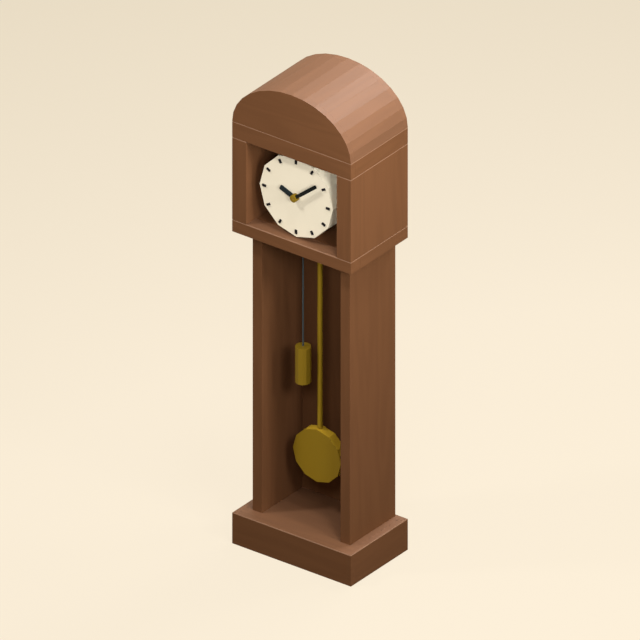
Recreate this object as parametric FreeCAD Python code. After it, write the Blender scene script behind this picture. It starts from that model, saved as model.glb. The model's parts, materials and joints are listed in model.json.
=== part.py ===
import FreeCAD, Part
import math
import os

# Longcase clock: a plinth, an open-fronted trunk and an arched hood, round a weight-driven
# movement with an anchor escapement and a long pendulum.
# Sizes are millimetres. Seen from the front, X points right, Y points back and Z points up.
# The origin is the centre of the plinth's underside.

V = FreeCAD.Vector
Y_AXIS = V(0, 1, 0)
Z_AXIS = V(0, 0, 1)
FULL_TURN = 360.0

# Case
CASE_WIDTH = 500.0
CASE_DEPTH = 320.0
EDGE_RADIUS = 2.0
WALL_HOLE_RADIUS = 3.0
WALL_HOLE_SPACING = 200.0
WALL_HOLE_DROP = 54.0

# Plinth
PLINTH_HEIGHT = 120.0
PLINTH_BOARD = 22.0
PLINTH_BLOCK = 36.0

# Trunk
TRUNK_INSIDE_SETBACK = 25.0
TRUNK_FRONT_SETBACK = 55.0
TRUNK_BACK_SETBACK = 10.0
TRUNK_HEIGHT = 1084.0
TRUNK_SIDE = 40.0
TENON_WIDTH = 60.0
TENON_THICKNESS = 16.0
TENON_INSET = 36.0
TRUNK_RAIL_HEIGHT = 30.0
TRUNK_RAIL_DEPTH = 22.0
BACKBOARD = 28.0
BACKBOARD_TOP_GAP = 2.0

# Hood
HOOD_BASE_HEIGHT = 46.0
HOOD_MARGIN_SHARE = 0.375
HOOD_CLEARANCE = 0.5
FRIEZE_HEIGHT = 62.0
FRIEZE_BOARD = 24.0
CEILING_BOARD = 12.0
ARCH_RISE = 183.0
ARCH_FACETS = 16
ARCH_BOARD = 22.0
STAVE_THICKNESS = 20.0

# Dial
DIAL_RADIUS = 154.0
DIAL_SIDES = 12
DIAL_CLEARANCE = 5.0
DIAL_SETBACK = 27.0
DIAL_PLATE = 2.0
DRUM_BEHIND_PLATES = 14.0
DRUM_WALL = 3.0
DRUM_SLOT_CLEARANCE = 0.5
MARKER_COUNT = 12
MARKER_INSET = 20.0
MARKER_LENGTH = 15.0
MARKER_WIDTH = 8.5
MARKER_HEIGHT = 4.0
DIAL_HOLE_CLEARANCE = 1.0
DIAL_FOOT_RADIUS = 3.0
DIAL_FOOT_INSET = 14.0
DIAL_FOOT_DROP = 26.0

# Movement plates, from the dial's back towards the backboard
PLATE_THICKNESS = 3.0
PLATE_WIDTH = 132.0
PLATE_ABOVE_CENTRE = 118.0
PLATE_BELOW_CENTRE = 126.0
MOTION_SPACE = 23.0
PLATE_SPACE = 75.0
PILLAR_RADIUS = 5.0
PILLAR_INSET = 10.0
SCREW_HEAD_RADIUS = 4.5
SCREW_HEAD = 3.0
SCREW_RADIUS = 2.0
SCREW_DEPTH = 10.0
RUNNING_FIT = 0.05
END_SHAKE = 0.3

# Seatboard fittings
SEAT_BLOCK_WIDTH = 11.0
SEAT_BLOCK_INNER = 41.0
SEAT_BLOCK_INSET = 12.0
SEAT_BLOCK_CAP = 9.0
SEAT_BOLT_RADIUS = 3.0
SEAT_BOLT_HEAD_RADIUS = 6.5
SEAT_BOLT_HEAD = 5.0
SEAT_BOLT_STOP = 6.0
SLOT_CLEARANCE = 4.0

# Gear teeth
PRESSURE_ANGLE = math.radians(25.0)
ADDENDUM_SHARE = 0.9
DEDENDUM_SHARE = 1.25
BACKLASH_SHARE = 0.12

# Going train
GREAT_TEETH = 96
GREAT_MODULE = 1.2
CENTRE_TEETH = 90
CENTRE_MODULE = 0.9
THIRD_TEETH = 90
THIRD_MODULE = 0.8
PINION_LEAVES = 12
THIRD_DIRECTION = math.radians(130.0)
ESCAPE_TEETH = 30
ESCAPE_RADIUS = 26.0
ESCAPE_TOOTH_DEPTH = 4.5
ESCAPE_TIP_SHARE = 0.06
ANCHOR_REACH_SHARE = math.sqrt(2)
WHEEL_ARMS_WIDTH = 5.0
WHEEL_RIM = 4.0
WHEEL_HUB = 9.0
WHEEL_THICKNESS = 2.0
GREAT_THICKNESS = 4.0
GREAT_HUB = 38.0
PINION_LENGTH = 6.0
LONG_PINION_LENGTH = 10.0
ARBOR_RADIUS = 2.5
CENTRE_ARBOR_RADIUS = 3.0
CENTRE_NOSE_RADIUS = 2.5
PIVOT_RADIUS = 1.2

# Places of the train between the plates: back from the front plate, except that the last three
# are back from the escape pinion's front, ahead of the escape wheel and ahead of the rear plate
CENTRE_WHEEL_BACK = 2.0
THIRD_PINION_BACK = 1.0
CENTRE_PINION_BACK = 8.0
GREAT_WHEEL_BACK = 11.0
RATCHET_BACK = 17.0
BARREL_BACK = 21.0
THIRD_WHEEL_SETBACK = 4.0
ESCAPE_PINION_LEAD = 19.0
ESCAPE_WHEEL_REAR_GAP = 16.0
ANCHOR_OVERHANG = 2.0

# Barrel, click and winding square
LINE_DIAMETER = 6.0
BARREL_LINE_RADIUS = 35.0
BARREL_REAR_GAP = 6.0
BARREL_FLANGE = 3.0
BARREL_FLANGE_RADIUS = 42.0
BARREL_ARBOR_RADIUS = 5.0
BARREL_PIVOT_RADIUS = 3.0
BARREL_COLLAR_RADIUS = 9.0
BARREL_COLLAR = 2.0
LINE_GAP = 0.3
LINE_TURNS = 3
LINE_FROM_REAR = 12.0
RATCHET_RADIUS = 20.0
RATCHET_DEPTH = 3.0
RATCHET_TEETH = 20
RATCHET_THICKNESS = 3.0
RATCHET_TIP_SHARE = 0.1
CLICK_STUD_RADIUS = 2.0
CLICK_PIVOT_SHARES = (1.5, 0.12)
CLICK_OUTLINE_SHARES = (
    (1.65, -0.15),
    (1.65, 0.2),
    (1.125, 0.775),
    (0.84, 0.66),
    (1.35, -0.05),
)
SQUARE_SIDE = 7.0
SQUARE_LENGTH = 19.0
CAP_RADIUS = 9.0
CAP_FIT = 0.1
CAP_SKIRT = 5.0
CAP_WALL = 1.5
COLLAR_WALL = 2.5

# Motion work and hands
CANNON_TEETH = 20
MINUTE_TEETH = 60
MINUTE_MODULE = 0.75
MINUTE_PINION_TEETH = 15
HOUR_TEETH = 60
HOUR_MODULE = 0.8
CANNON_LENGTH = 4.0
CANNON_FORWARD = 2.0
MINUTE_WHEEL_FORWARD = 3.0
MINUTE_PINION_LENGTH = 8.0
HOUR_WHEEL_FORWARD = 10.0
STUD_RADIUS = 2.0
STUD_LENGTH = 14.0
CANNON_PIPE_RADIUS = 4.0
BRIDGE_PIPE_RADIUS = 6.0
HOUR_PIPE_RADIUS = 8.0
BRIDGE_FORWARD = 7.2
BRIDGE_THICKNESS = 1.8
BRIDGE_WIDTH = 14.0
BRIDGE_SPAN = 64.0
BRIDGE_LEG = 6.0
BRIDGE_PIPE_LENGTH = 12.0
COLLET_RADIUS = 13.5
COLLET_DIAL_GAP = 1.0
HOUR_COLLET_LENGTH = 11.4
COLLET_GAP = 0.4
MINUTE_COLLET_LENGTH = 6.8
HAND_SETBACK = 0.5
HAND_ROOT = 1.0
NOSE_END_INSET = 1.0
HOUR_HAND_LENGTH = 65.0
HOUR_HAND_WIDTH = 18.0
HOUR_HAND_THICKNESS = 4.5
HOUR_HAND_TURN = 291.5
MINUTE_HAND_LENGTH = 121.0
MINUTE_HAND_WIDTH = 13.0
MINUTE_HAND_THICKNESS = 4.0
MINUTE_HAND_TURN = 50.7

# Anchor, crutch and back cock
ANCHOR_OUTLINE_SHARES = (
    (0.0, 0.34),
    (0.62, 0.15),
    (1.04, -0.46),
    (0.94, -0.77),
    (0.79, -0.66),
    (0.65, -0.31),
    (0.0, -0.16),
)
CRUTCH_LENGTH = 114.0
CRUTCH_WIDTH = 5.0
CRUTCH_THICKNESS = 3.0
CRUTCH_BOSS_RADIUS = 6.0
CRUTCH_BACK = 6.0
FORK_HEIGHT = 8.0
FORK_PRONG = 3.5
FORK_GAP = 0.4
FORK_OVERREACH = 7.0
COCK_BACK = 14.0
COCK_THICKNESS = 4.0
COCK_WIDTH = 60.0
COCK_BELOW_PIVOT = 6.0
COCK_POST_RADIUS = 4.0
COCK_POST_INSET = 6.0
ARBOR_HOLE_CLEARANCE = 3.0
TONGUE_WIDTH = 16.0
TONGUE_HEIGHT = 6.0
TONGUE_OVERREACH = 8.0

# Pendulum; it swings this many degrees each side of upright
SWING = 2.5
PENDULUM_BEHIND_PLATES = 27.0
ROD_RADIUS = 9.0
ROD_WALL = 2.0
ROD_TOP_DROP = 22.0
ROD_PLUG = 12.0
SPRING_THICKNESS = 0.3
SPRING_WIDTH = 10.0
SPRING_GRIP = 4.0
SPRING_FREE = 8.0
SPRING_SLIT_CLEARANCE = 0.45
SPRING_END_CLEARANCE = 0.3
CHOP_WIDTH = 10.0
CHOP_DEPTH = 12.0
BOB_FLOOR_GAP = 137.0
BOB_RADIUS = 101.0
BOB_SIDES = 12
BOB_THICKNESS = 36.0
BOB_WALL = 2.0
BOB_CORE_RADIUS = 62.0
BOB_ROD_CLEARANCE = 0.3
BOB_ROD_END_DROP = 34.0
STUD_END_DROP = 60.0
RATING_TRAVEL = 4.0
RATING_SPARE = 1.0
THREAD_RADIUS = 4.0
NUT_RADIUS = 12.0
NUT_HEIGHT = 10.0
NUT_TOP_DROP = 44.0
NUT_POCKET_CLEARANCE = 1.5
NUT_SIDES = 8

# Weight
WEIGHT_RADIUS = 27.5
WEIGHT_SIDES = 12
WEIGHT_HEIGHT = 138.0
WEIGHT_HANG = 420.0
WEIGHT_WALL = 2.0
FERRULE_RADIUS = 6.0
FERRULE_HEIGHT = 14.0

# Levels of the case
CASE_LEFT = -CASE_WIDTH / 2
CASE_RIGHT = CASE_WIDTH / 2
CASE_FRONT = -CASE_DEPTH / 2
CASE_BACK = CASE_DEPTH / 2
TRUNK_TOP = PLINTH_HEIGHT + TRUNK_HEIGHT
HOOD_FLOOR = TRUNK_TOP + HOOD_BASE_HEIGHT
HOOD_SIDE_TOP = HOOD_FLOOR + 2 * (DIAL_RADIUS + DIAL_CLEARANCE)
FRIEZE_TOP = HOOD_SIDE_TOP + FRIEZE_HEIGHT
TRUNK_FRONT = CASE_FRONT + TRUNK_FRONT_SETBACK
TRUNK_BACK = CASE_BACK - TRUNK_BACK_SETBACK
HOOD_INNER = DIAL_RADIUS + HOOD_MARGIN_SHARE * (CASE_RIGHT - DIAL_RADIUS)
TRUNK_INNER = HOOD_INNER - TRUNK_INSIDE_SETBACK
TRUNK_OUTER = TRUNK_INNER + TRUNK_SIDE
SEAT_HALF = HOOD_INNER - HOOD_CLEARANCE
BACKBOARD_FRONT = TRUNK_BACK - BACKBOARD

# Places of the movement
DIAL_Z = HOOD_FLOOR + DIAL_CLEARANCE + DIAL_RADIUS
DIAL_FRONT = CASE_FRONT + DIAL_SETBACK
DIAL_BACK = DIAL_FRONT + DIAL_PLATE
MARKER_RADIUS = DIAL_RADIUS - MARKER_INSET
PLATE_FRONT = DIAL_BACK + MOTION_SPACE
PLATE_INNER = PLATE_FRONT + PLATE_THICKNESS
REAR_PLATE_INNER = PLATE_INNER + PLATE_SPACE
REAR_PLATE_BACK = REAR_PLATE_INNER + PLATE_THICKNESS
DRUM_BACK = REAR_PLATE_BACK + DRUM_BEHIND_PLATES
PLATE_BOTTOM = DIAL_Z - PLATE_BELOW_CENTRE
PLATE_TOP = DIAL_Z + PLATE_ABOVE_CENTRE
BARREL_X = 0.0
BARREL_Z = DIAL_Z - GREAT_MODULE * (GREAT_TEETH + PINION_LEAVES) / 2
THIRD_REACH = CENTRE_MODULE * (CENTRE_TEETH + PINION_LEAVES) / 2
THIRD_X = THIRD_REACH * math.cos(THIRD_DIRECTION)
THIRD_Z = DIAL_Z + THIRD_REACH * math.sin(THIRD_DIRECTION)
ESCAPE_REACH = THIRD_MODULE * (THIRD_TEETH + PINION_LEAVES) / 2
ESCAPE_Z = THIRD_Z + math.sqrt(ESCAPE_REACH**2 - THIRD_X**2)
ANCHOR_Z = ESCAPE_Z + ESCAPE_RADIUS * ANCHOR_REACH_SHARE
STUD_X = MINUTE_MODULE * (CANNON_TEETH + MINUTE_TEETH) / 2
ESCAPE_WHEEL_BACK = PLATE_SPACE - ESCAPE_WHEEL_REAR_GAP
ESCAPE_PINION_BACK = ESCAPE_WHEEL_BACK - ESCAPE_PINION_LEAD
THIRD_WHEEL_BACK = ESCAPE_PINION_BACK + THIRD_WHEEL_SETBACK
PENDULUM_Y = REAR_PLATE_BACK + PENDULUM_BEHIND_PLATES
BOB_Z = PLINTH_HEIGHT + BOB_FLOOR_GAP + BOB_RADIUS

# Places of the barrel, the line and the weight
BARREL_RADIUS = BARREL_LINE_RADIUS - LINE_DIAMETER / 2 - LINE_GAP
BARREL_FRONT = PLATE_INNER + BARREL_BACK
BARREL_REAR = REAR_PLATE_INNER - BARREL_REAR_GAP
LINE_X = BARREL_X - BARREL_LINE_RADIUS
LINE_Y = BARREL_REAR - LINE_FROM_REAR
WEIGHT_TOP = TRUNK_TOP - WEIGHT_HANG
SEAT_BOLT_X = SEAT_BLOCK_INNER + SEAT_BLOCK_WIDTH / 2


def block(x_low, x_high, y_low, y_high, z_low, z_high):
    """A box between two corners."""
    corner = V(x_low, y_low, z_low)
    return Part.makeBox(x_high - x_low, y_high - y_low, z_high - z_low, corner)


def eased_block(x_low, x_high, y_low, y_high, z_low, z_high):
    """A box with all its edges rounded over."""
    blank = block(x_low, x_high, y_low, y_high, z_low, z_high)
    return blank.makeFillet(EDGE_RADIUS, blank.Edges)


def eased_post(x_low, x_high, y_low, y_high, z_low, z_high):
    """A box with its upright edges rounded over and square ends."""
    blank = block(x_low, x_high, y_low, y_high, z_low, z_high)
    upright = [edge for edge in blank.Edges if abs(edge.tangentAt(0).z) > abs(edge.tangentAt(0).x)
               + abs(edge.tangentAt(0).y)]
    return blank.makeFillet(EDGE_RADIUS, upright)


def rod_y(x, z, radius, y_low, y_high):
    """A round bar along Y."""
    return Part.makeCylinder(radius, y_high - y_low, V(x, y_low, z), Y_AXIS)


def tube_y(x, z, outer, inner, y_low, y_high):
    """A round tube along Y."""
    return rod_y(x, z, outer, y_low, y_high).cut(rod_y(x, z, inner, y_low, y_high))


def rod_z(x, y, radius, z_low, z_high):
    """A round bar along Z."""
    return Part.makeCylinder(radius, z_high - z_low, V(x, y, z_low), Z_AXIS)


def prism_y(outline, y_low, y_high):
    """A flat outline of (x, z) points, extruded along Y."""
    points = [V(x, y_low, z) for x, z in outline]
    wire = Part.makePolygon(points + points[:1])
    return Part.Face(wire).extrude(V(0, y_high - y_low, 0))


def prism_z(outline, z_low, z_high):
    """A flat outline of (x, y) points, extruded along Z."""
    points = [V(x, y, z_low) for x, y in outline]
    wire = Part.makePolygon(points + points[:1])
    return Part.Face(wire).extrude(V(0, 0, z_high - z_low))


def regular(first, second, radius, sides):
    """Corners of a regular polygon with one corner on its first axis."""
    step = 2 * math.pi / sides
    return [
        (first + radius * math.cos(i * step), second + radius * math.sin(i * step))
        for i in range(sides)
    ]


def joined(shapes):
    """One solid made of shapes that overlap or touch."""
    return shapes[0].fuse(shapes[1:]).removeSplitter().Solids[0]


def save(name, *solids):
    """Write one sub-part, a solid or a group of separate solids."""
    shape = solids[0] if len(solids) == 1 else Part.makeCompound(list(solids))
    shape.exportStep(os.path.join("parts", name + ".step"))


def mirrored(shape):
    """The same shape on the other side of the clock's middle plane."""
    return shape.mirror(V(0, 0, 0), V(1, 0, 0))


def involute(angle):
    """The involute function."""
    return math.tan(angle) - angle


def gear(teeth, module, x, z, turn, y_low, y_high):
    """A toothed disc with straight-sided teeth; one tooth is centred on the angle turn."""
    pitch_radius = module * teeth / 2
    base_radius = pitch_radius * math.cos(PRESSURE_ANGLE)
    tip_radius = pitch_radius + ADDENDUM_SHARE * module
    root_radius = pitch_radius - DEDENDUM_SHARE * module
    pitch_half = math.pi / teeth / 2 * (1 - BACKLASH_SHARE)

    def half_width(radius):
        """Half the tooth's angle at a radius."""
        angle = math.acos(base_radius / radius) if radius > base_radius else 0
        return pitch_half + involute(PRESSURE_ANGLE) - involute(angle)

    tooth = (
        (root_radius, -half_width(root_radius)),
        (tip_radius, -half_width(tip_radius)),
        (tip_radius, half_width(tip_radius)),
        (root_radius, half_width(root_radius)),
    )
    outline = []
    for i in range(teeth):
        centre = turn + 2 * math.pi * i / teeth
        for radius, angle in tooth:
            outline.append((x + radius * math.cos(centre + angle), z + radius * math.sin(centre + angle)))
    return prism_y(outline, y_low, y_high)


def meshed(turn, teeth, other_teeth, direction):
    """The angle of a tooth on a gear that meshes with one whose tooth is at turn."""
    return (
        direction + math.pi - math.pi / other_teeth
        + (direction - turn) * teeth / other_teeth
    )


def saw_wheel(teeth, radius, depth, tip_share, x, z, y_low, y_high):
    """A disc with pointed teeth whose steep faces look clockwise."""
    step = 2 * math.pi / teeth
    outline = []
    for i in range(teeth):
        start = i * step
        outline.append((x + (radius - depth) * math.cos(start), z + (radius - depth) * math.sin(start)))
        outline.append((x + radius * math.cos(start), z + radius * math.sin(start)))
        land = start + tip_share * step
        outline.append((x + radius * math.cos(land), z + radius * math.sin(land)))
    return prism_y(outline, y_low, y_high)


def crossed_out(wheel, x, z, rim_radius, hub_radius, y_low, y_high):
    """A wheel lightened to a rim, a hub and four arms."""
    windows = tube_y(x, z, rim_radius, hub_radius, y_low, y_high)
    half = WHEEL_ARMS_WIDTH / 2
    upright = block(x - half, x + half, y_low, y_high, z - rim_radius, z + rim_radius)
    level = block(x - rim_radius, x + rim_radius, y_low, y_high, z - half, z + half)
    return wheel.cut(windows.cut([upright, level]))


def root_of(teeth, module):
    """The radius at the bottom of a gear's teeth."""
    return module * teeth / 2 - DEDENDUM_SHARE * module


def arbor(x, z, radius, rear_end):
    """A train arbor with a pivot at each end, in the plates' holes."""
    body = rod_y(x, z, radius, PLATE_INNER + END_SHAKE, rear_end - END_SHAKE)
    pivot = rod_y(x, z, PIVOT_RADIUS, PLATE_FRONT, rear_end + PLATE_THICKNESS)
    return [body, pivot]


def box_frame(z_low, z_high, wall):
    """Four boards cut from one eased block the size of the case: front, back, left and right."""
    whole = eased_block(CASE_LEFT, CASE_RIGHT, CASE_FRONT, CASE_BACK, z_low, z_high)
    inner_front = CASE_FRONT + wall
    inner_back = CASE_BACK - wall
    front = block(CASE_LEFT, CASE_RIGHT, CASE_FRONT, inner_front, z_low, z_high)
    back = block(CASE_LEFT, CASE_RIGHT, inner_back, CASE_BACK, z_low, z_high)
    left = block(CASE_LEFT, CASE_LEFT + wall, inner_front, inner_back, z_low, z_high)
    right = block(CASE_RIGHT - wall, CASE_RIGHT, inner_front, inner_back, z_low, z_high)
    return [whole.common(piece).Solids[0] for piece in (front, back, left, right)]


def tenon_places():
    """Where the trunk sides' tenons start along Y."""
    return (TRUNK_FRONT + TENON_INSET, TRUNK_BACK - TENON_INSET - TENON_WIDTH)


def tenons(side):
    """The tenons of one trunk side, which pass through the plinth's top board."""
    middle = side * (TRUNK_OUTER - TRUNK_SIDE / 2)
    half = TENON_THICKNESS / 2
    low = PLINTH_HEIGHT - PLINTH_BOARD
    return [
        block(middle - half, middle + half, start, start + TENON_WIDTH, low, PLINTH_HEIGHT)
        for start in tenon_places()
    ]


def build_plinth():
    """The plinth: four boards, a top board and glue blocks in its corners."""
    shelf = PLINTH_HEIGHT - PLINTH_BOARD
    boards = box_frame(0, PLINTH_HEIGHT, PLINTH_BOARD)
    inner_x = CASE_RIGHT - PLINTH_BOARD
    inner_y = CASE_BACK - PLINTH_BOARD
    top = block(-inner_x, inner_x, -inner_y, inner_y, shelf, PLINTH_HEIGHT)
    save("plinth_boards", *boards)
    save("plinth_top", top.cut(tenons(-1) + tenons(1)))
    blocks = []
    for x_low in (-inner_x, inner_x - PLINTH_BLOCK):
        for y_low in (-inner_y, inner_y - PLINTH_BLOCK):
            blocks.append(block(x_low, x_low + PLINTH_BLOCK, y_low, y_low + PLINTH_BLOCK, 0, shelf))
    save("plinth_blocks", *blocks)


def build_trunk():
    """The trunk: two sides, a rail across their tops and the backboard, with its ears in the hood."""
    side = eased_post(TRUNK_INNER, TRUNK_OUTER, TRUNK_FRONT, TRUNK_BACK, PLINTH_HEIGHT, TRUNK_TOP)
    right = joined([side] + tenons(1))
    save("trunk_right", right)
    save("trunk_left", mirrored(right))
    rail_back = TRUNK_FRONT + TRUNK_RAIL_DEPTH
    rail_low = TRUNK_TOP - TRUNK_RAIL_HEIGHT
    save("trunk_rail", block(-TRUNK_INNER, TRUNK_INNER, TRUNK_FRONT, rail_back, rail_low, TRUNK_TOP))
    top = HOOD_SIDE_TOP - BACKBOARD_TOP_GAP
    board = block(-TRUNK_INNER, TRUNK_INNER, BACKBOARD_FRONT, TRUNK_BACK, PLINTH_HEIGHT, top)
    hole_z = TRUNK_TOP - WALL_HOLE_DROP
    holes = [
        rod_y(x, hole_z, WALL_HOLE_RADIUS, BACKBOARD_FRONT, TRUNK_BACK)
        for x in (-WALL_HOLE_SPACING / 2, WALL_HOLE_SPACING / 2)
    ]
    ear = block(TRUNK_INNER, SEAT_HALF, BACKBOARD_FRONT, TRUNK_BACK, TRUNK_TOP, top)
    save("backboard", board.cut(holes), ear, mirrored(ear))


def seat_block(side, clearance=0):
    """A block that carries the plates: a stem through the drum and a cap under both plates."""
    inner = SEAT_BLOCK_INNER - clearance
    outer = SEAT_BLOCK_INNER + SEAT_BLOCK_WIDTH + clearance
    x_low, x_high = sorted((side * inner, side * outer))
    stem_front = PLATE_FRONT + SEAT_BLOCK_INSET - clearance
    stem_back = REAR_PLATE_BACK - SEAT_BLOCK_INSET + clearance
    stem = block(x_low, x_high, stem_front, stem_back, HOOD_FLOOR, PLATE_BOTTOM)
    if clearance:
        return stem
    cap_low = PLATE_BOTTOM - SEAT_BLOCK_CAP
    cap = block(x_low, x_high, PLATE_FRONT, REAR_PLATE_BACK, cap_low, PLATE_BOTTOM)
    return joined([stem, cap])


def line_passage(z_low, z_high):
    """The space left round the weight's line."""
    half = LINE_DIAMETER / 2 + SLOT_CLEARANCE
    return block(LINE_X - half, LINE_X + half, LINE_Y - half, LINE_Y + half, z_low, z_high)


def build_seat():
    """The seatboard and the blocks on it; gives back the bolts that hold them."""
    board = block(-SEAT_HALF, SEAT_HALF, TRUNK_FRONT, BACKBOARD_FRONT, TRUNK_TOP, HOOD_FLOOR)
    swing = (ANCHOR_Z - TRUNK_TOP) * math.sin(math.radians(SWING))
    rod_half = ROD_RADIUS + SLOT_CLEARANCE
    slot = block(
        -rod_half - swing, rod_half + swing,
        PENDULUM_Y - rod_half, PENDULUM_Y + rod_half,
        TRUNK_TOP, HOOD_FLOOR,
    )
    middle = (PLATE_FRONT + REAR_PLATE_BACK) / 2
    shank_top = PLATE_BOTTOM - SEAT_BOLT_STOP
    head_low = TRUNK_TOP - SEAT_BOLT_HEAD
    shanks = []
    bolts = []
    for x in (-SEAT_BOLT_X, SEAT_BOLT_X):
        shank = rod_z(x, middle, SEAT_BOLT_RADIUS, TRUNK_TOP, shank_top)
        head = rod_z(x, middle, SEAT_BOLT_HEAD_RADIUS, head_low, TRUNK_TOP)
        shanks.append(shank)
        bolts.append(joined([head, shank]))
    save("seatboard", board.cut([slot, line_passage(TRUNK_TOP, HOOD_FLOOR)] + shanks))
    save("seat_blocks", seat_block(-1).cut(shanks[0]), seat_block(1).cut(shanks[1]))
    return bolts


def arch_point(i, inset):
    """A corner of the arch's faceted outline, drawn in by inset."""
    angle = math.pi * i / ARCH_FACETS
    across = (CASE_RIGHT - inset) * math.cos(angle)
    return (across, FRIEZE_TOP + (ARCH_RISE - inset) * math.sin(angle))


def build_hood():
    """The hood: a floor frame, two sides, a frieze, a ceiling and the arched top."""
    floor = eased_block(CASE_LEFT, CASE_RIGHT, CASE_FRONT, CASE_BACK, TRUNK_TOP, HOOD_FLOOR)
    rail_back = TRUNK_FRONT - HOOD_CLEARANCE
    rail = block(CASE_LEFT, CASE_RIGHT, CASE_FRONT, rail_back, TRUNK_TOP, HOOD_FLOOR)
    arm = block(HOOD_INNER, CASE_RIGHT, rail_back, CASE_BACK, TRUNK_TOP, HOOD_FLOOR)
    pieces = [floor.common(piece).Solids[0] for piece in (rail, arm, mirrored(arm))]
    save("hood_base", *pieces)
    side = eased_block(HOOD_INNER, CASE_RIGHT, CASE_FRONT, CASE_BACK, HOOD_FLOOR, HOOD_SIDE_TOP)
    save("hood_right_side", side)
    save("hood_left_side", mirrored(side))
    save("frieze_boards", *box_frame(HOOD_SIDE_TOP, FRIEZE_TOP, FRIEZE_BOARD))
    inner_x = CASE_RIGHT - FRIEZE_BOARD
    inner_y = CASE_BACK - FRIEZE_BOARD
    ceiling_top = HOOD_SIDE_TOP + CEILING_BOARD
    save("hood_ceiling", block(-inner_x, inner_x, -inner_y, inner_y, HOOD_SIDE_TOP, ceiling_top))
    outline = [arch_point(i, 0) for i in range(ARCH_FACETS + 1)]
    save("arch_front", prism_y(outline, CASE_FRONT, CASE_FRONT + ARCH_BOARD))
    save("arch_back", prism_y(outline, CASE_BACK - ARCH_BOARD, CASE_BACK))
    staves = []
    for i in range(ARCH_FACETS):
        corners = [
            arch_point(i, 0),
            arch_point(i + 1, 0),
            arch_point(i + 1, STAVE_THICKNESS),
            arch_point(i, STAVE_THICKNESS),
        ]
        staves.append(prism_y(corners, CASE_FRONT + ARCH_BOARD, CASE_BACK - ARCH_BOARD))
    save("arch_staves", *staves)


def dial_foot_places():
    """Where the dial's feet stand on the front plate, as (x, z)."""
    x = PLATE_WIDTH / 2 - DIAL_FOOT_INSET
    return [(side * x, z) for side in (-1, 1)
            for z in (PLATE_BOTTOM + DIAL_FOOT_DROP, PLATE_TOP - DIAL_FOOT_DROP)]


def build_dial():
    """The dial: its drum, plate, hour markers and feet."""
    rim = regular(0, DIAL_Z, DIAL_RADIUS, DIAL_SIDES)
    bore = regular(0, DIAL_Z, DIAL_RADIUS - DRUM_WALL, DIAL_SIDES)
    drum = prism_y(rim, DIAL_BACK, DRUM_BACK).cut(prism_y(bore, DIAL_BACK, DRUM_BACK))
    openings = [
        seat_block(-1, DRUM_SLOT_CLEARANCE),
        seat_block(1, DRUM_SLOT_CLEARANCE),
        line_passage(HOOD_FLOOR, PLATE_BOTTOM),
    ]
    save("dial_drum", drum.cut(openings))
    collar_radius = CAP_RADIUS + CAP_FIT
    collar = tube_y(
        BARREL_X, BARREL_Z, collar_radius + COLLAR_WALL, collar_radius, DIAL_BACK, DIAL_BACK + CAP_SKIRT
    )
    plate = prism_y(rim, DIAL_FRONT, DIAL_BACK)
    plate = plate.cut([
        rod_y(0, DIAL_Z, HOUR_PIPE_RADIUS + DIAL_HOLE_CLEARANCE, DIAL_FRONT, DIAL_BACK),
        rod_y(BARREL_X, BARREL_Z, collar_radius, DIAL_FRONT, DIAL_BACK),
    ])
    save("dial_plate", joined([plate, collar]))
    markers = []
    for i in range(MARKER_COUNT):
        low = DIAL_Z + MARKER_RADIUS - MARKER_LENGTH / 2
        half = MARKER_WIDTH / 2
        bar = block(-half, half, DIAL_FRONT - MARKER_HEIGHT, DIAL_FRONT, low, low + MARKER_LENGTH)
        bar.rotate(V(0, 0, DIAL_Z), Y_AXIS, FULL_TURN * i / MARKER_COUNT)
        markers.append(bar)
    save("hour_markers", *markers)
    feet = [rod_y(x, z, DIAL_FOOT_RADIUS, DIAL_BACK, PLATE_FRONT) for x, z in dial_foot_places()]
    save("dial_feet", *feet)
    cap_front = rod_y(BARREL_X, BARREL_Z, CAP_RADIUS, DIAL_FRONT, DIAL_BACK)
    skirt = tube_y(BARREL_X, BARREL_Z, CAP_RADIUS, CAP_RADIUS - CAP_WALL, DIAL_BACK, DIAL_BACK + CAP_SKIRT)
    save("winding_cap", joined([cap_front, skirt]))


def pillar_places():
    """The plates' four corners where the pillars stand, as (x, z)."""
    x = PLATE_WIDTH / 2 - PILLAR_INSET
    return [(side * x, z) for side in (-1, 1)
            for z in (PLATE_BOTTOM + PILLAR_INSET, PLATE_TOP - PILLAR_INSET)]


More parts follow.
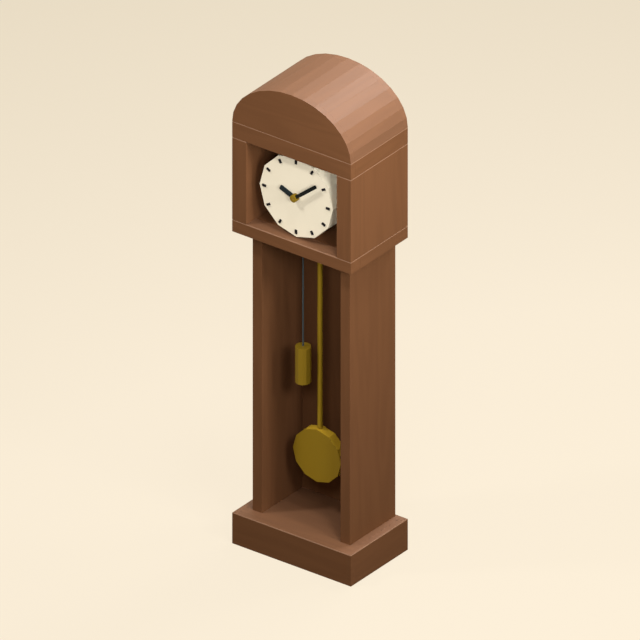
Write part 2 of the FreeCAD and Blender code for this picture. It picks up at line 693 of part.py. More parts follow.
def build_plates(seat_bolts):
    """The two plates, their pillars, and the screws and bolts that hold the movement."""
    half = PLATE_WIDTH / 2
    fit = PIVOT_RADIUS + RUNNING_FIT
    front_holes = (
        (0, DIAL_Z, CENTRE_ARBOR_RADIUS + RUNNING_FIT),
        (BARREL_X, BARREL_Z, BARREL_ARBOR_RADIUS + RUNNING_FIT),
        (THIRD_X, THIRD_Z, fit),
        (0, ESCAPE_Z, fit),
        (0, ANCHOR_Z, fit),
    )
    back_holes = (
        (0, DIAL_Z, fit),
        (BARREL_X, BARREL_Z, BARREL_PIVOT_RADIUS + RUNNING_FIT),
        (THIRD_X, THIRD_Z, fit),
        (0, ESCAPE_Z, fit),
        (0, ANCHOR_Z, ARBOR_RADIUS + ARBOR_HOLE_CLEARANCE),
    )
    places = pillar_places()
    sheets = (
        ("front_plate", PLATE_FRONT, PLATE_INNER, front_holes),
        ("back_plate", REAR_PLATE_INNER, REAR_PLATE_BACK, back_holes),
    )
    for name, y_low, y_high, holes in sheets:
        sheet = block(-half, half, y_low, y_high, PLATE_BOTTOM, PLATE_TOP)
        cuts = [rod_y(x, z, radius, y_low, y_high) for x, z, radius in holes]
        cuts += [rod_y(x, z, SCREW_RADIUS, y_low, y_high) for x, z in places]
        save(name, sheet.cut(cuts))
    pillars = []
    screws = []
    for x, z in places:
        front_shank = rod_y(x, z, SCREW_RADIUS, PLATE_FRONT, PLATE_INNER + SCREW_DEPTH)
        back_shank = rod_y(x, z, SCREW_RADIUS, REAR_PLATE_INNER - SCREW_DEPTH, REAR_PLATE_BACK)
        pillar = rod_y(x, z, PILLAR_RADIUS, PLATE_INNER, REAR_PLATE_INNER)
        pillars.append(pillar.cut([front_shank, back_shank]))
        front_head = rod_y(x, z, SCREW_HEAD_RADIUS, PLATE_FRONT - SCREW_HEAD, PLATE_FRONT)
        back_head = rod_y(x, z, SCREW_HEAD_RADIUS, REAR_PLATE_BACK, REAR_PLATE_BACK + SCREW_HEAD)
        screws.append(joined([front_head, front_shank]))
        screws.append(joined([back_shank, back_head]))
    save("pillars", *pillars)
    save("movement_screws", *screws, *seat_bolts)


def build_centre():
    """The centre arbor, its wheel, the cannon pinion and the minute hand on its collet."""
    nose_end = minute_collet_front() + NOSE_END_INSET
    pinion_front = PLATE_INNER + CENTRE_PINION_BACK
    pinion = gear(
        PINION_LEAVES, GREAT_MODULE, 0, DIAL_Z, 0, pinion_front, pinion_front + LONG_PINION_LENGTH
    )
    body = rod_y(0, DIAL_Z, CENTRE_ARBOR_RADIUS, PLATE_FRONT - END_SHAKE, REAR_PLATE_INNER - END_SHAKE)
    nose = rod_y(0, DIAL_Z, CENTRE_NOSE_RADIUS, nose_end, PLATE_FRONT - END_SHAKE)
    pivot = rod_y(0, DIAL_Z, PIVOT_RADIUS, REAR_PLATE_INNER - END_SHAKE, REAR_PLATE_BACK)
    save("centre_arbor", joined([body, pinion, nose, pivot]))
    wheel_front = PLATE_INNER + CENTRE_WHEEL_BACK
    wheel_back = wheel_front + WHEEL_THICKNESS
    wheel = gear(CENTRE_TEETH, CENTRE_MODULE, 0, DIAL_Z, 0, wheel_front, wheel_back)
    rim = root_of(CENTRE_TEETH, CENTRE_MODULE) - WHEEL_RIM
    wheel = crossed_out(wheel, 0, DIAL_Z, rim, WHEEL_HUB, wheel_front, wheel_back)
    save("centre_wheel", wheel.cut(rod_y(0, DIAL_Z, CENTRE_ARBOR_RADIUS, wheel_front, wheel_back)))
    cannon_back = PLATE_FRONT - CANNON_FORWARD
    cannon_front = cannon_back - CANNON_LENGTH
    leaves = gear(CANNON_TEETH, MINUTE_MODULE, 0, DIAL_Z, 0, cannon_front, cannon_back)
    pipe = rod_y(0, DIAL_Z, CANNON_PIPE_RADIUS, nose_end, cannon_front)
    bore = rod_y(0, DIAL_Z, CENTRE_NOSE_RADIUS, nose_end, cannon_back)
    save("cannon_pinion", joined([leaves, pipe]).cut(bore))


def hand(length, width, thickness, root, y_back, turn):
    """A flat hand with a round tip, turned clockwise from twelve."""
    half = width / 2
    y_front = y_back - thickness
    tip = DIAL_Z + length - half
    blade = joined([
        block(-half, half, y_front, y_back, DIAL_Z + root, tip),
        rod_y(0, tip, half, y_front, y_back),
    ])
    blade.rotate(V(0, 0, DIAL_Z), Y_AXIS, turn)
    return blade


def hour_collet_front():
    """The front face of the hour hand's collet."""
    return DIAL_FRONT - COLLET_DIAL_GAP - HOUR_COLLET_LENGTH


def minute_collet_front():
    """The front face of the minute hand's collet, which is the hub's face."""
    return hour_collet_front() - COLLET_GAP - MINUTE_COLLET_LENGTH


def build_hands():
    """Both hands, let into their collets."""
    minute_back = hour_collet_front() - COLLET_GAP
    minute_blade = hand(
        MINUTE_HAND_LENGTH, MINUTE_HAND_WIDTH, MINUTE_HAND_THICKNESS,
        CANNON_PIPE_RADIUS + HAND_ROOT, minute_back - HAND_SETBACK, MINUTE_HAND_TURN,
    )
    minute_front = minute_collet_front()
    minute_pipe = rod_y(0, DIAL_Z, CANNON_PIPE_RADIUS, minute_front + NOSE_END_INSET, minute_back)
    minute_collet = rod_y(0, DIAL_Z, COLLET_RADIUS, minute_front, minute_back)
    save("minute_collet", minute_collet.cut([minute_blade, minute_pipe]))
    save("minute_hand", minute_blade)
    hour_front = hour_collet_front()
    hour_back = DIAL_FRONT - COLLET_DIAL_GAP
    hour_blade = hand(
        HOUR_HAND_LENGTH, HOUR_HAND_WIDTH, HOUR_HAND_THICKNESS, HOUR_PIPE_RADIUS + HAND_ROOT,
        hour_front + HAND_SETBACK + HOUR_HAND_THICKNESS, HOUR_HAND_TURN,
    )
    hour_collet = tube_y(0, DIAL_Z, COLLET_RADIUS, HOUR_PIPE_RADIUS, hour_front, hour_back)
    save("hour_collet", hour_collet.cut(hour_blade))
    save("hour_hand", hour_blade)


def build_motion_work():
    """The minute wheel, the hour wheel and its pipe, and the stud and bridge they run on."""
    wheel_back = PLATE_FRONT - MINUTE_WHEEL_FORWARD
    wheel_front = wheel_back - WHEEL_THICKNESS
    pinion_front = wheel_front - MINUTE_PINION_LENGTH
    wheel_turn = meshed(0, CANNON_TEETH, MINUTE_TEETH, 0)
    wheel = gear(MINUTE_TEETH, MINUTE_MODULE, STUD_X, DIAL_Z, wheel_turn, wheel_front, wheel_back)
    pinion = gear(MINUTE_PINION_TEETH, HOUR_MODULE, STUD_X, DIAL_Z, 0, pinion_front, wheel_front)
    bore = rod_y(STUD_X, DIAL_Z, STUD_RADIUS + RUNNING_FIT, pinion_front, wheel_back)
    save("minute_wheel", joined([wheel, pinion]).cut(bore))
    hour_back = PLATE_FRONT - HOUR_WHEEL_FORWARD
    hour_front = hour_back - WHEEL_THICKNESS
    hour_turn = meshed(0, MINUTE_PINION_TEETH, HOUR_TEETH, math.pi)
    hour = gear(HOUR_TEETH, HOUR_MODULE, 0, DIAL_Z, hour_turn, hour_front, hour_back)
    pipe = rod_y(0, DIAL_Z, HOUR_PIPE_RADIUS, hour_collet_front(), hour_front)
    hour_bore = rod_y(0, DIAL_Z, BRIDGE_PIPE_RADIUS + RUNNING_FIT, hour_collet_front(), hour_back)
    save("hour_wheel", joined([hour, pipe]).cut(hour_bore))
    save("minute_stud", rod_y(STUD_X, DIAL_Z, STUD_RADIUS, PLATE_FRONT - STUD_LENGTH, PLATE_FRONT))
    bar_back = PLATE_FRONT - BRIDGE_FORWARD
    bar_front = bar_back - BRIDGE_THICKNESS
    half_width = BRIDGE_WIDTH / 2
    half_span = BRIDGE_SPAN / 2
    bar = block(-half_width, half_width, bar_front, bar_back, DIAL_Z - half_span, DIAL_Z + half_span)
    top_leg = block(
        -half_width, half_width, bar_back, PLATE_FRONT, DIAL_Z + half_span - BRIDGE_LEG, DIAL_Z + half_span
    )
    low_leg = block(
        -half_width, half_width, bar_back, PLATE_FRONT, DIAL_Z - half_span, DIAL_Z - half_span + BRIDGE_LEG
    )
    bridge_pipe = rod_y(0, DIAL_Z, BRIDGE_PIPE_RADIUS, bar_front - BRIDGE_PIPE_LENGTH, bar_back)
    bridge_bore = rod_y(
        0, DIAL_Z, CANNON_PIPE_RADIUS + RUNNING_FIT, bar_front - BRIDGE_PIPE_LENGTH, bar_back
    )
    save("hour_bridge", joined([bar, top_leg, low_leg, bridge_pipe]).cut(bridge_bore))


def click_stud():
    """The centre of the click's stud on the great wheel, as (x, z)."""
    across, up = CLICK_PIVOT_SHARES
    return (BARREL_X + across * RATCHET_RADIUS, BARREL_Z + up * RATCHET_RADIUS)


def build_barrel():
    """The great wheel, its click, the barrel with its arbor and ratchet, and the wound line."""
    wheel_front = PLATE_INNER + GREAT_WHEEL_BACK
    wheel_back = wheel_front + GREAT_THICKNESS
    ratchet_front = PLATE_INNER + RATCHET_BACK
    ratchet_back = ratchet_front + RATCHET_THICKNESS
    turn = meshed(0, PINION_LEAVES, GREAT_TEETH, -math.pi / 2)
    great = gear(GREAT_TEETH, GREAT_MODULE, BARREL_X, BARREL_Z, turn, wheel_front, wheel_back)
    rim = root_of(GREAT_TEETH, GREAT_MODULE) - WHEEL_RIM
    great = crossed_out(great, BARREL_X, BARREL_Z, rim, GREAT_HUB, wheel_front, wheel_back)
    great = great.cut(rod_y(BARREL_X, BARREL_Z, BARREL_ARBOR_RADIUS + RUNNING_FIT, wheel_front, wheel_back))
    stud_x, stud_z = click_stud()
    stud = rod_y(stud_x, stud_z, CLICK_STUD_RADIUS, wheel_back, ratchet_back)
    save("great_wheel", joined([great, stud]))
    outline = [
        (BARREL_X + across * RATCHET_RADIUS, BARREL_Z + up * RATCHET_RADIUS)
        for across, up in CLICK_OUTLINE_SHARES
    ]
    click = prism_y(outline, ratchet_front, ratchet_back)
    click_bore = rod_y(stud_x, stud_z, CLICK_STUD_RADIUS + RUNNING_FIT, ratchet_front, ratchet_back)
    save("click", click.cut(click_bore))
    ratchet = saw_wheel(
        RATCHET_TEETH, RATCHET_RADIUS, RATCHET_DEPTH, RATCHET_TIP_SHARE,
        BARREL_X, BARREL_Z, ratchet_front, BARREL_FRONT,
    )
    ratchet_bore = rod_y(BARREL_X, BARREL_Z, BARREL_ARBOR_RADIUS, ratchet_front, BARREL_FRONT)
    save("ratchet_wheel", ratchet.cut(ratchet_bore))
    drum = rod_y(BARREL_X, BARREL_Z, BARREL_RADIUS, BARREL_FRONT, BARREL_REAR)
    front_flange = rod_y(
        BARREL_X, BARREL_Z, BARREL_FLANGE_RADIUS, BARREL_FRONT, BARREL_FRONT + BARREL_FLANGE
    )
    rear_flange = rod_y(BARREL_X, BARREL_Z, BARREL_FLANGE_RADIUS, BARREL_REAR - BARREL_FLANGE, BARREL_REAR)
    bore = rod_y(BARREL_X, BARREL_Z, BARREL_ARBOR_RADIUS, BARREL_FRONT, BARREL_REAR)
    save("barrel", joined([drum, front_flange, rear_flange]).cut(bore))
    wound_back = LINE_Y - LINE_DIAMETER / 2 - LINE_GAP
    wound_front = wound_back - LINE_TURNS * LINE_DIAMETER
    outer = BARREL_RADIUS + LINE_DIAMETER
    save("line_winding", tube_y(BARREL_X, BARREL_Z, outer, BARREL_RADIUS, wound_front, wound_back))
    body_front = PLATE_FRONT - END_SHAKE
    body = rod_y(BARREL_X, BARREL_Z, BARREL_ARBOR_RADIUS, body_front, REAR_PLATE_INNER - END_SHAKE)
    pivot = rod_y(
        BARREL_X, BARREL_Z, BARREL_PIVOT_RADIUS, REAR_PLATE_INNER - END_SHAKE, REAR_PLATE_BACK
    )
    collar_back = wheel_front - END_SHAKE
    collar = rod_y(BARREL_X, BARREL_Z, BARREL_COLLAR_RADIUS, collar_back - BARREL_COLLAR, collar_back)
    half = SQUARE_SIDE / 2
    square = block(
        BARREL_X - half, BARREL_X + half,
        body_front - SQUARE_LENGTH, body_front,
        BARREL_Z - half, BARREL_Z + half,
    )
    save("barrel_arbor", joined([body, pivot, collar, square]))


def build_train():
    """The third wheel, the escape wheel and their arbors."""
    pinion_front = PLATE_INNER + THIRD_PINION_BACK
    turn = meshed(0, CENTRE_TEETH, PINION_LEAVES, THIRD_DIRECTION)
    pinion = gear(
        PINION_LEAVES, CENTRE_MODULE, THIRD_X, THIRD_Z, turn, pinion_front, pinion_front + PINION_LENGTH
    )
    save("third_arbor", joined(arbor(THIRD_X, THIRD_Z, ARBOR_RADIUS, REAR_PLATE_INNER) + [pinion]))
    wheel_front = PLATE_INNER + THIRD_WHEEL_BACK
    wheel_back = wheel_front + WHEEL_THICKNESS
    wheel = gear(THIRD_TEETH, THIRD_MODULE, THIRD_X, THIRD_Z, 0, wheel_front, wheel_back)
    rim = root_of(THIRD_TEETH, THIRD_MODULE) - WHEEL_RIM
    wheel = crossed_out(wheel, THIRD_X, THIRD_Z, rim, WHEEL_HUB, wheel_front, wheel_back)
    save("third_wheel", wheel.cut(rod_y(THIRD_X, THIRD_Z, ARBOR_RADIUS, wheel_front, wheel_back)))
    direction = math.atan2(ESCAPE_Z - THIRD_Z, -THIRD_X)
    escape_turn = meshed(0, THIRD_TEETH, PINION_LEAVES, direction)
    escape_front = PLATE_INNER + ESCAPE_PINION_BACK
    escape_pinion = gear(
        PINION_LEAVES, THIRD_MODULE, 0, ESCAPE_Z, escape_turn,
        escape_front, escape_front + LONG_PINION_LENGTH,
    )
    save("escape_arbor", joined(arbor(0, ESCAPE_Z, ARBOR_RADIUS, REAR_PLATE_INNER) + [escape_pinion]))
    escape_low = PLATE_INNER + ESCAPE_WHEEL_BACK
    escape_high = escape_low + WHEEL_THICKNESS
    escape = saw_wheel(
        ESCAPE_TEETH, ESCAPE_RADIUS, ESCAPE_TOOTH_DEPTH, ESCAPE_TIP_SHARE,
        0, ESCAPE_Z, escape_low, escape_high,
    )
    rim = ESCAPE_RADIUS - ESCAPE_TOOTH_DEPTH - WHEEL_RIM
    escape = crossed_out(escape, 0, ESCAPE_Z, rim, WHEEL_HUB, escape_low, escape_high)
    save("escape_wheel", escape.cut(rod_y(0, ESCAPE_Z, ARBOR_RADIUS, escape_low, escape_high)))


def build_escapement():
    """The anchor on its arbor, the crutch that drives the pendulum and the cock that holds both."""
    low = PLATE_INNER + ESCAPE_WHEEL_BACK - ANCHOR_OVERHANG
    high = low + WHEEL_THICKNESS + 2 * ANCHOR_OVERHANG
    right = [(x * ESCAPE_RADIUS, ANCHOR_Z + z * ESCAPE_RADIUS) for x, z in ANCHOR_OUTLINE_SHARES]
    left = [(-x, z) for x, z in reversed(right[1:-1])]
    cock_front = REAR_PLATE_BACK + COCK_BACK
    cock_back = cock_front + COCK_THICKNESS
    body = rod_y(0, ANCHOR_Z, ARBOR_RADIUS, PLATE_INNER + END_SHAKE, cock_front - END_SHAKE)
    pivot = rod_y(0, ANCHOR_Z, PIVOT_RADIUS, PLATE_FRONT, cock_back)
    save("anchor", joined([prism_y(right + left, low, high), body, pivot]))
    bar_front = REAR_PLATE_BACK + CRUTCH_BACK
    bar_back = bar_front + CRUTCH_THICKNESS
    foot = ANCHOR_Z - CRUTCH_LENGTH
    half = CRUTCH_WIDTH / 2
    inner = ROD_RADIUS + FORK_GAP
    outer = inner + FORK_PRONG
    prong_back = PENDULUM_Y + FORK_OVERREACH
    crutch = joined([
        block(-half, half, bar_front, bar_back, foot, ANCHOR_Z),
        rod_y(0, ANCHOR_Z, CRUTCH_BOSS_RADIUS, bar_front, bar_back),
        block(-outer, outer, bar_front, bar_back, foot, foot + FORK_HEIGHT),
        block(inner, outer, bar_back, prong_back, foot, foot + FORK_HEIGHT),
        block(-outer, -inner, bar_back, prong_back, foot, foot + FORK_HEIGHT),
    ])
    save("crutch", crutch.cut(rod_y(0, ANCHOR_Z, ARBOR_RADIUS, bar_front, bar_back)))
    half_cock = COCK_WIDTH / 2
    tongue_low = PLATE_TOP - TONGUE_HEIGHT
    half_tongue = TONGUE_WIDTH / 2
    tongue_back = PENDULUM_Y + TONGUE_OVERREACH
    post_x = half_cock - COCK_POST_INSET
    pieces = [
        block(-half_cock, half_cock, cock_front, cock_back, ANCHOR_Z - COCK_BELOW_PIVOT, PLATE_TOP),
        block(-half_tongue, half_tongue, cock_back, tongue_back, tongue_low, PLATE_TOP),
        rod_y(post_x, ANCHOR_Z, COCK_POST_RADIUS, REAR_PLATE_BACK, cock_front),
        rod_y(-post_x, ANCHOR_Z, COCK_POST_RADIUS, REAR_PLATE_BACK, cock_front),
    ]
    pivot_hole = rod_y(0, ANCHOR_Z, PIVOT_RADIUS + RUNNING_FIT, cock_front, cock_back)
    save("back_cock", joined(pieces).cut(pivot_hole))


def build_suspension():
    """The block under the cock and the spring that the pendulum hangs from."""
    tongue_low = PLATE_TOP - TONGUE_HEIGHT
    grip_low = ANCHOR_Z + SPRING_FREE / 2
    half = CHOP_WIDTH / 2
    half_depth = CHOP_DEPTH / 2
    spring_half = SPRING_THICKNESS / 2
    spring_depth = SPRING_WIDTH / 2
    slit_half = spring_half + SPRING_SLIT_CLEARANCE
    spring_top = grip_low + SPRING_GRIP
    holder = block(
        -half, half, PENDULUM_Y - half_depth, PENDULUM_Y + half_depth, grip_low, tongue_low
    )
    slit_top = spring_top + SPRING_END_CLEARANCE
    slit_depth = spring_depth + SPRING_END_CLEARANCE
    slit = block(
        -slit_half, slit_half, PENDULUM_Y - slit_depth, PENDULUM_Y + slit_depth, grip_low, slit_top
    )
    save("suspension_block", holder.cut(slit))
    rod_top = ANCHOR_Z - ROD_TOP_DROP
    chop_top = ANCHOR_Z - SPRING_FREE / 2
    chop = block(
        -half, half, PENDULUM_Y - half_depth, PENDULUM_Y + half_depth, rod_top, chop_top
    )
    strip = block(
        -spring_half, spring_half,
        PENDULUM_Y - spring_depth, PENDULUM_Y + spring_depth,
        chop_top - SPRING_FREE, spring_top,
    )
    save("suspension_spring", chop.cut(strip), strip)


def build_pendulum():
    """The rod, with a threaded end inside the bob, the bob's shell and core, and its nut."""
    rod_top = ANCHOR_Z - ROD_TOP_DROP
    rod_end = BOB_Z - BOB_ROD_END_DROP
    stud_end = BOB_Z - STUD_END_DROP
    tube = rod_z(0, PENDULUM_Y, ROD_RADIUS, rod_end, rod_top)
    hollow = rod_z(0, PENDULUM_Y, ROD_RADIUS - ROD_WALL, rod_end + ROD_PLUG, rod_top - ROD_PLUG)
    stud = rod_z(0, PENDULUM_Y, THREAD_RADIUS, stud_end, rod_end)
    save("pendulum_rod", joined([tube.cut(hollow), stud]))
    front = PENDULUM_Y - BOB_THICKNESS / 2
    back = PENDULUM_Y + BOB_THICKNESS / 2
    rim = regular(0, BOB_Z, BOB_RADIUS, BOB_SIDES)
    hollow_rim = regular(0, BOB_Z, BOB_RADIUS - BOB_WALL, BOB_SIDES)
    core_rim = regular(0, BOB_Z, BOB_CORE_RADIUS, BOB_SIDES)
    channel_low = rod_end - RATING_TRAVEL - RATING_SPARE
    channel = rod_z(0, PENDULUM_Y, ROD_RADIUS + BOB_ROD_CLEARANCE, channel_low, BOB_Z + BOB_RADIUS)
    stud_hole = rod_z(0, PENDULUM_Y, THREAD_RADIUS + BOB_ROD_CLEARANCE, stud_end, channel_low)
    nut_top = BOB_Z - NUT_TOP_DROP
    nut_low = nut_top - NUT_HEIGHT
    pocket_half = NUT_RADIUS + NUT_POCKET_CLEARANCE
    pocket = block(
        -pocket_half, pocket_half,
        PENDULUM_Y - pocket_half, back,
        BOB_Z - BOB_CORE_RADIUS, nut_top,
    )
    cup = prism_y(rim, front, back - BOB_WALL)
    cup = cup.cut([prism_y(hollow_rim, front + BOB_WALL, back - BOB_WALL), channel])
    lid = prism_y(rim, back - BOB_WALL, back).cut(pocket)
    save("bob_shell", cup, lid)
    core = prism_y(core_rim, front + BOB_WALL, back - BOB_WALL)
    save("bob_core", core.cut([channel, stud_hole, pocket]))
    nut = prism_z(regular(0, PENDULUM_Y, NUT_RADIUS, NUT_SIDES), nut_low, nut_top)
    save("rating_nut", nut.cut(rod_z(0, PENDULUM_Y, THREAD_RADIUS + RUNNING_FIT, nut_low, nut_top)))


def build_weight():
    """The line from the barrel and the weight on its end."""
    low = WEIGHT_TOP - WEIGHT_HEIGHT
    outline = regular(LINE_X, LINE_Y, WEIGHT_RADIUS, WEIGHT_SIDES)
    inner = regular(LINE_X, LINE_Y, WEIGHT_RADIUS - WEIGHT_WALL, WEIGHT_SIDES)
    core_low = low + WEIGHT_WALL
    core_high = WEIGHT_TOP - WEIGHT_WALL
    cup = prism_z(outline, low, core_high).cut(prism_z(inner, core_low, core_high))
    lid = prism_z(outline, core_high, WEIGHT_TOP)
    save("weight_shell", cup, lid)
    ferrule = rod_z(LINE_X, LINE_Y, FERRULE_RADIUS, core_high - FERRULE_HEIGHT, core_high)
    save("weight_core", prism_z(inner, core_low, core_high).cut(ferrule))
    save("line_ferrule", ferrule)
    save("weight_line", rod_z(LINE_X, LINE_Y, LINE_DIAMETER / 2, WEIGHT_TOP, BARREL_Z))


def main():
    """Build every sub-part."""
    os.makedirs("parts", exist_ok=True)
    build_plinth()
    build_trunk()
    seat_bolts = build_seat()
    build_hood()
    build_dial()
    build_plates(seat_bolts)
    build_centre()
    build_hands()
    build_motion_work()
    build_barrel()
    build_train()
    build_escapement()
    build_suspension()
    build_pendulum()
    build_weight()


main()
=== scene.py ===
import json
import logging
import math
from collections.abc import Iterable, Mapping, Sequence
from dataclasses import dataclass, field
from enum import Enum

import bmesh
import bpy
from mathutils import Matrix, Vector


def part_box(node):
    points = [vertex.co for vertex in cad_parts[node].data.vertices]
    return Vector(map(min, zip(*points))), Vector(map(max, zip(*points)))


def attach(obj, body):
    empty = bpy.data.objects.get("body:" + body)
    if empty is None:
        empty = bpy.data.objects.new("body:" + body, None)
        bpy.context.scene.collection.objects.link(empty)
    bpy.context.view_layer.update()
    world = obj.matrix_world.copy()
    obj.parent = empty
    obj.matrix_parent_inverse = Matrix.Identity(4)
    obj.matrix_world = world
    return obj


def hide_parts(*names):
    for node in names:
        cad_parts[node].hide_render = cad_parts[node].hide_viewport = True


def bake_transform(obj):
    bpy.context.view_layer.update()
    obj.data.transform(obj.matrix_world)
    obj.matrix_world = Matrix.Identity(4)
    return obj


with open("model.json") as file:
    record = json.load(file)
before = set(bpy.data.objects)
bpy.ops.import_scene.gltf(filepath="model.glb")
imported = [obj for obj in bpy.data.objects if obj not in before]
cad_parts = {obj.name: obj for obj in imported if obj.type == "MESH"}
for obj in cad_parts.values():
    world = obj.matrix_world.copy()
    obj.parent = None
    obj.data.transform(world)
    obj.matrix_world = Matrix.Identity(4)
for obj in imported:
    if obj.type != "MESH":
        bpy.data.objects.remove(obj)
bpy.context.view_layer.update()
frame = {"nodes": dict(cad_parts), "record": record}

MM = 0.001
FULL_TURN = 2 * math.pi
WELD = 0.000001

Colour = tuple[float, float, float]
log = logging.getLogger("longcase_clock")


class Axis(Enum):
    """The three directions of the clock's frame."""

    X = (1.0, 0.0, 0.0)
    Y = (0.0, 1.0, 0.0)
    Z = (0.0, 0.0, 1.0)

    @property
    def vector(self) -> Vector:
        """The direction as a vector."""
        return Vector(self.value)


class Side(Enum):
    """The six faces of a board, by the way they look."""

    LEFT = (-1.0, 0.0, 0.0)
    RIGHT = (1.0, 0.0, 0.0)
    FRONT = (0.0, -1.0, 0.0)
    BACK = (0.0, 1.0, 0.0)
    BOTTOM = (0.0, 0.0, -1.0)
    TOP = (0.0, 0.0, 1.0)

    @property
    def vector(self) -> Vector:
        """The way the face looks."""
        return Vector(self.value)


ALL_SIDES = frozenset(Side)
UPWARD = 0.05
LEVEL = 0.95


def screen_colour(red: float, green: float, blue: float) -> Colour:
    """Turn a screen colour into the linear one that a shader wants.

    Args:
        red: The red part, from 0 to 255.
        green: The green part, from 0 to 255.
        blue: The blue part, from 0 to 255.

    Returns:
        The linear colour.
    """
    full, knee, slope = 255.0, 0.04045, 12.92
    offset, power = 0.055, 2.4

    def linear(part: float) -> float:
        """Undo the screen's curve for one part."""
        share = part / full
        return share / slope if share <= knee else ((share + offset) / (1 + offset)) ** power

    return (linear(red), linear(green), linear(blue))


def node_box(name: str) -> tuple[Vector, Vector]:
    """Give the lowest and highest corner of a node of the frame, in metres."""
    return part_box(name)


class Surface:
    """The nodes of one material, added one at a time."""

    def __init__(self, name: str) -> None:
        """Start a material that has only its shader.

        Args:
            name: The material's name.
        """
        self.material = bpy.data.materials.new(name)
        self.material.use_nodes = True
        self.tree = self.material.node_tree
        self.shader = self.tree.nodes["Principled BSDF"]

    def node(self, kind: str, inputs: Mapping[str | int, object] | None = None, **settings: object):
        """Add a node.

        Args:
            kind: The node's type, without the words that all shader nodes share.
            inputs: What its sockets hold: a value, or another node's output.
            settings: The node's own settings.

        Returns:
            The new node.
        """
        made = self.tree.nodes.new("ShaderNode" + kind)
        for setting, value in settings.items():
            setattr(made, setting, value)
        for socket, value in (inputs or {}).items():
            self.feed(made, socket, value)
        return made

    def feed(self, target: bpy.types.Node, socket: str | int, value: object) -> None:
        """Set a socket to a value, or link an output to it.

        Args:
            target: The node that has the socket.
            socket: The socket's name or number.
            value: A value, or another node's output.
        """
        entry = target.inputs[socket]
        if isinstance(value, bpy.types.NodeSocket):
            self.tree.links.new(value, entry)
        elif isinstance(value, tuple) and len(value) == 3 and entry.type == "RGBA":
            entry.default_value = (*value, 1.0)
        else:
            entry.default_value = value

    def math(self, operation: str, first: object, second: object = 0.0):
        """Add a sum and give its output."""
        return self.node("Math", {0: first, 1: second}, operation=operation).outputs[0]

    def scaled(self, vector: object, scale: tuple[float, float, float]):
        """Stretch a vector along its axes and give the output."""
        return self.node("Mapping", {"Vector": vector, "Scale": scale}).outputs[0]

    def noise(self, vector: object, scale: float, detail: float = 2.0, roughness: float = 0.5):
        """Add a noise texture and give its output, from 0 to 1."""
        inputs = {"Vector": vector, "Scale": scale, "Detail": detail, "Roughness": roughness}
        return self.node("TexNoise", inputs).outputs["Fac"]

    def ranged(self, value: object, low: float, high: float, to_low: float, to_high: float):
        """Move a value from one range to another and give the output."""
        inputs = {"Value": value, "From Min": low, "From Max": high, "To Min": to_low, "To Max": to_high}
        return self.node("MapRange", inputs).outputs[0]

    def mixed(self, share: object, first: object, second: object):
        """Mix two colours and give the output."""
        made = self.node("Mix", data_type="RGBA")
        colours = [entry for entry in made.inputs if entry.type == "RGBA"]
        self.feed(made, 0, share)
        for entry, value in zip(colours, (first, second)):
            if isinstance(value, tuple):
                entry.default_value = (*value, 1.0)
            else:
                self.tree.links.new(value, entry)
        return next(entry for entry in made.outputs if entry.type == "RGBA")

    def bump(self, height: object, strength: float, distance: float) -> None:
        """Let a height raise and lower the surface.

        Args:
            height: The output that gives the height, from 0 to 1.
            strength: How much of it shows.
            distance: How high a height of 1 stands, in metres.
        """
        made = self.node("Bump", {"Height": height, "Strength": strength, "Distance": distance})
        self.feed(self.shader, "Normal", made.outputs[0])


BOARD_MARK = "board"


@dataclass(frozen=True)
class Wood:
    """Waxed hardwood, with grain along one direction."""

    name: str
    grain: Axis
    tone: Colour = screen_colour(103, 68, 43)
    gloss: float = 0.03
    deep: float = 0.93
    pale: float = 1.055
    roughness: float = 0.62
    pore_depth: float = 0.00006

    def make(self) -> bpy.types.Material:
        """Build the material.

        Returns:
            The material.
        """
        made = Surface(self.name)
        place = made.node("TexCoord").outputs["Object"]
        mark = made.node("Attribute", attribute_name=BOARD_MARK).outputs["Fac"]
        board = made.node("CombineXYZ", {"X": mark, "Y": made.math("MULTIPLY", mark, 0.37), "Z": mark})
        place = made.node("VectorMath", {0: place, 1: board.outputs[0]}, operation="ADD").outputs[0]
        figure = made.noise(made.scaled(place, self.stretch(0.10)), 6.0, 3.0)
        rings = made.math("SINE", made.math("MULTIPLY", figure, 62.0))
        rings = made.ranged(rings, -1.0, 1.0, 0.0, 1.0)
        fibres = made.noise(made.scaled(place, self.stretch(0.035)), 210.0, 4.0, 0.6)
        pores = made.noise(made.scaled(place, self.stretch(0.03)), 700.0, 2.0)
        pores = made.ranged(pores, 0.60, 0.72, 0.0, 1.0)
        blotch = made.noise(place, 3.0, 2.0)
        shade = made.math("ADD", made.math("MULTIPLY", rings, 0.30), made.math("MULTIPLY", fibres, 0.45))
        shade = made.math("ADD", shade, made.math("MULTIPLY", blotch, 0.25))
        deep = tuple(part * self.deep for part in self.tone)
        pale = tuple(part * self.pale for part in self.tone)
        colour = made.mixed(made.ranged(shade, 0.25, 0.75, 0.0, 1.0), deep, pale)
        dark = tuple(part * self.deep * self.deep for part in self.tone)
        colour = made.mixed(made.math("MULTIPLY", pores, 0.25), colour, dark)
        made.feed(made.shader, "Base Color", colour)
        made.shader.inputs["Specular IOR Level"].default_value = self.gloss
        rough = made.ranged(fibres, 0.0, 1.0, self.roughness - 0.05, self.roughness + 0.07)
        made.feed(made.shader, "Roughness", rough)
        height = made.math("SUBTRACT", made.math("MULTIPLY", fibres, 0.5), pores)
        made.bump(height, 0.35, self.pore_depth)
        return made.material

    def stretch(self, along: float) -> tuple[float, float, float]:
        """Scales that draw a pattern out along the grain.

        Args:
            along: The scale along the grain; across it the scale is 1.

        Returns:
            The scale along X, Y and Z.
        """
        return tuple(along if part else 1.0 for part in self.grain.value)


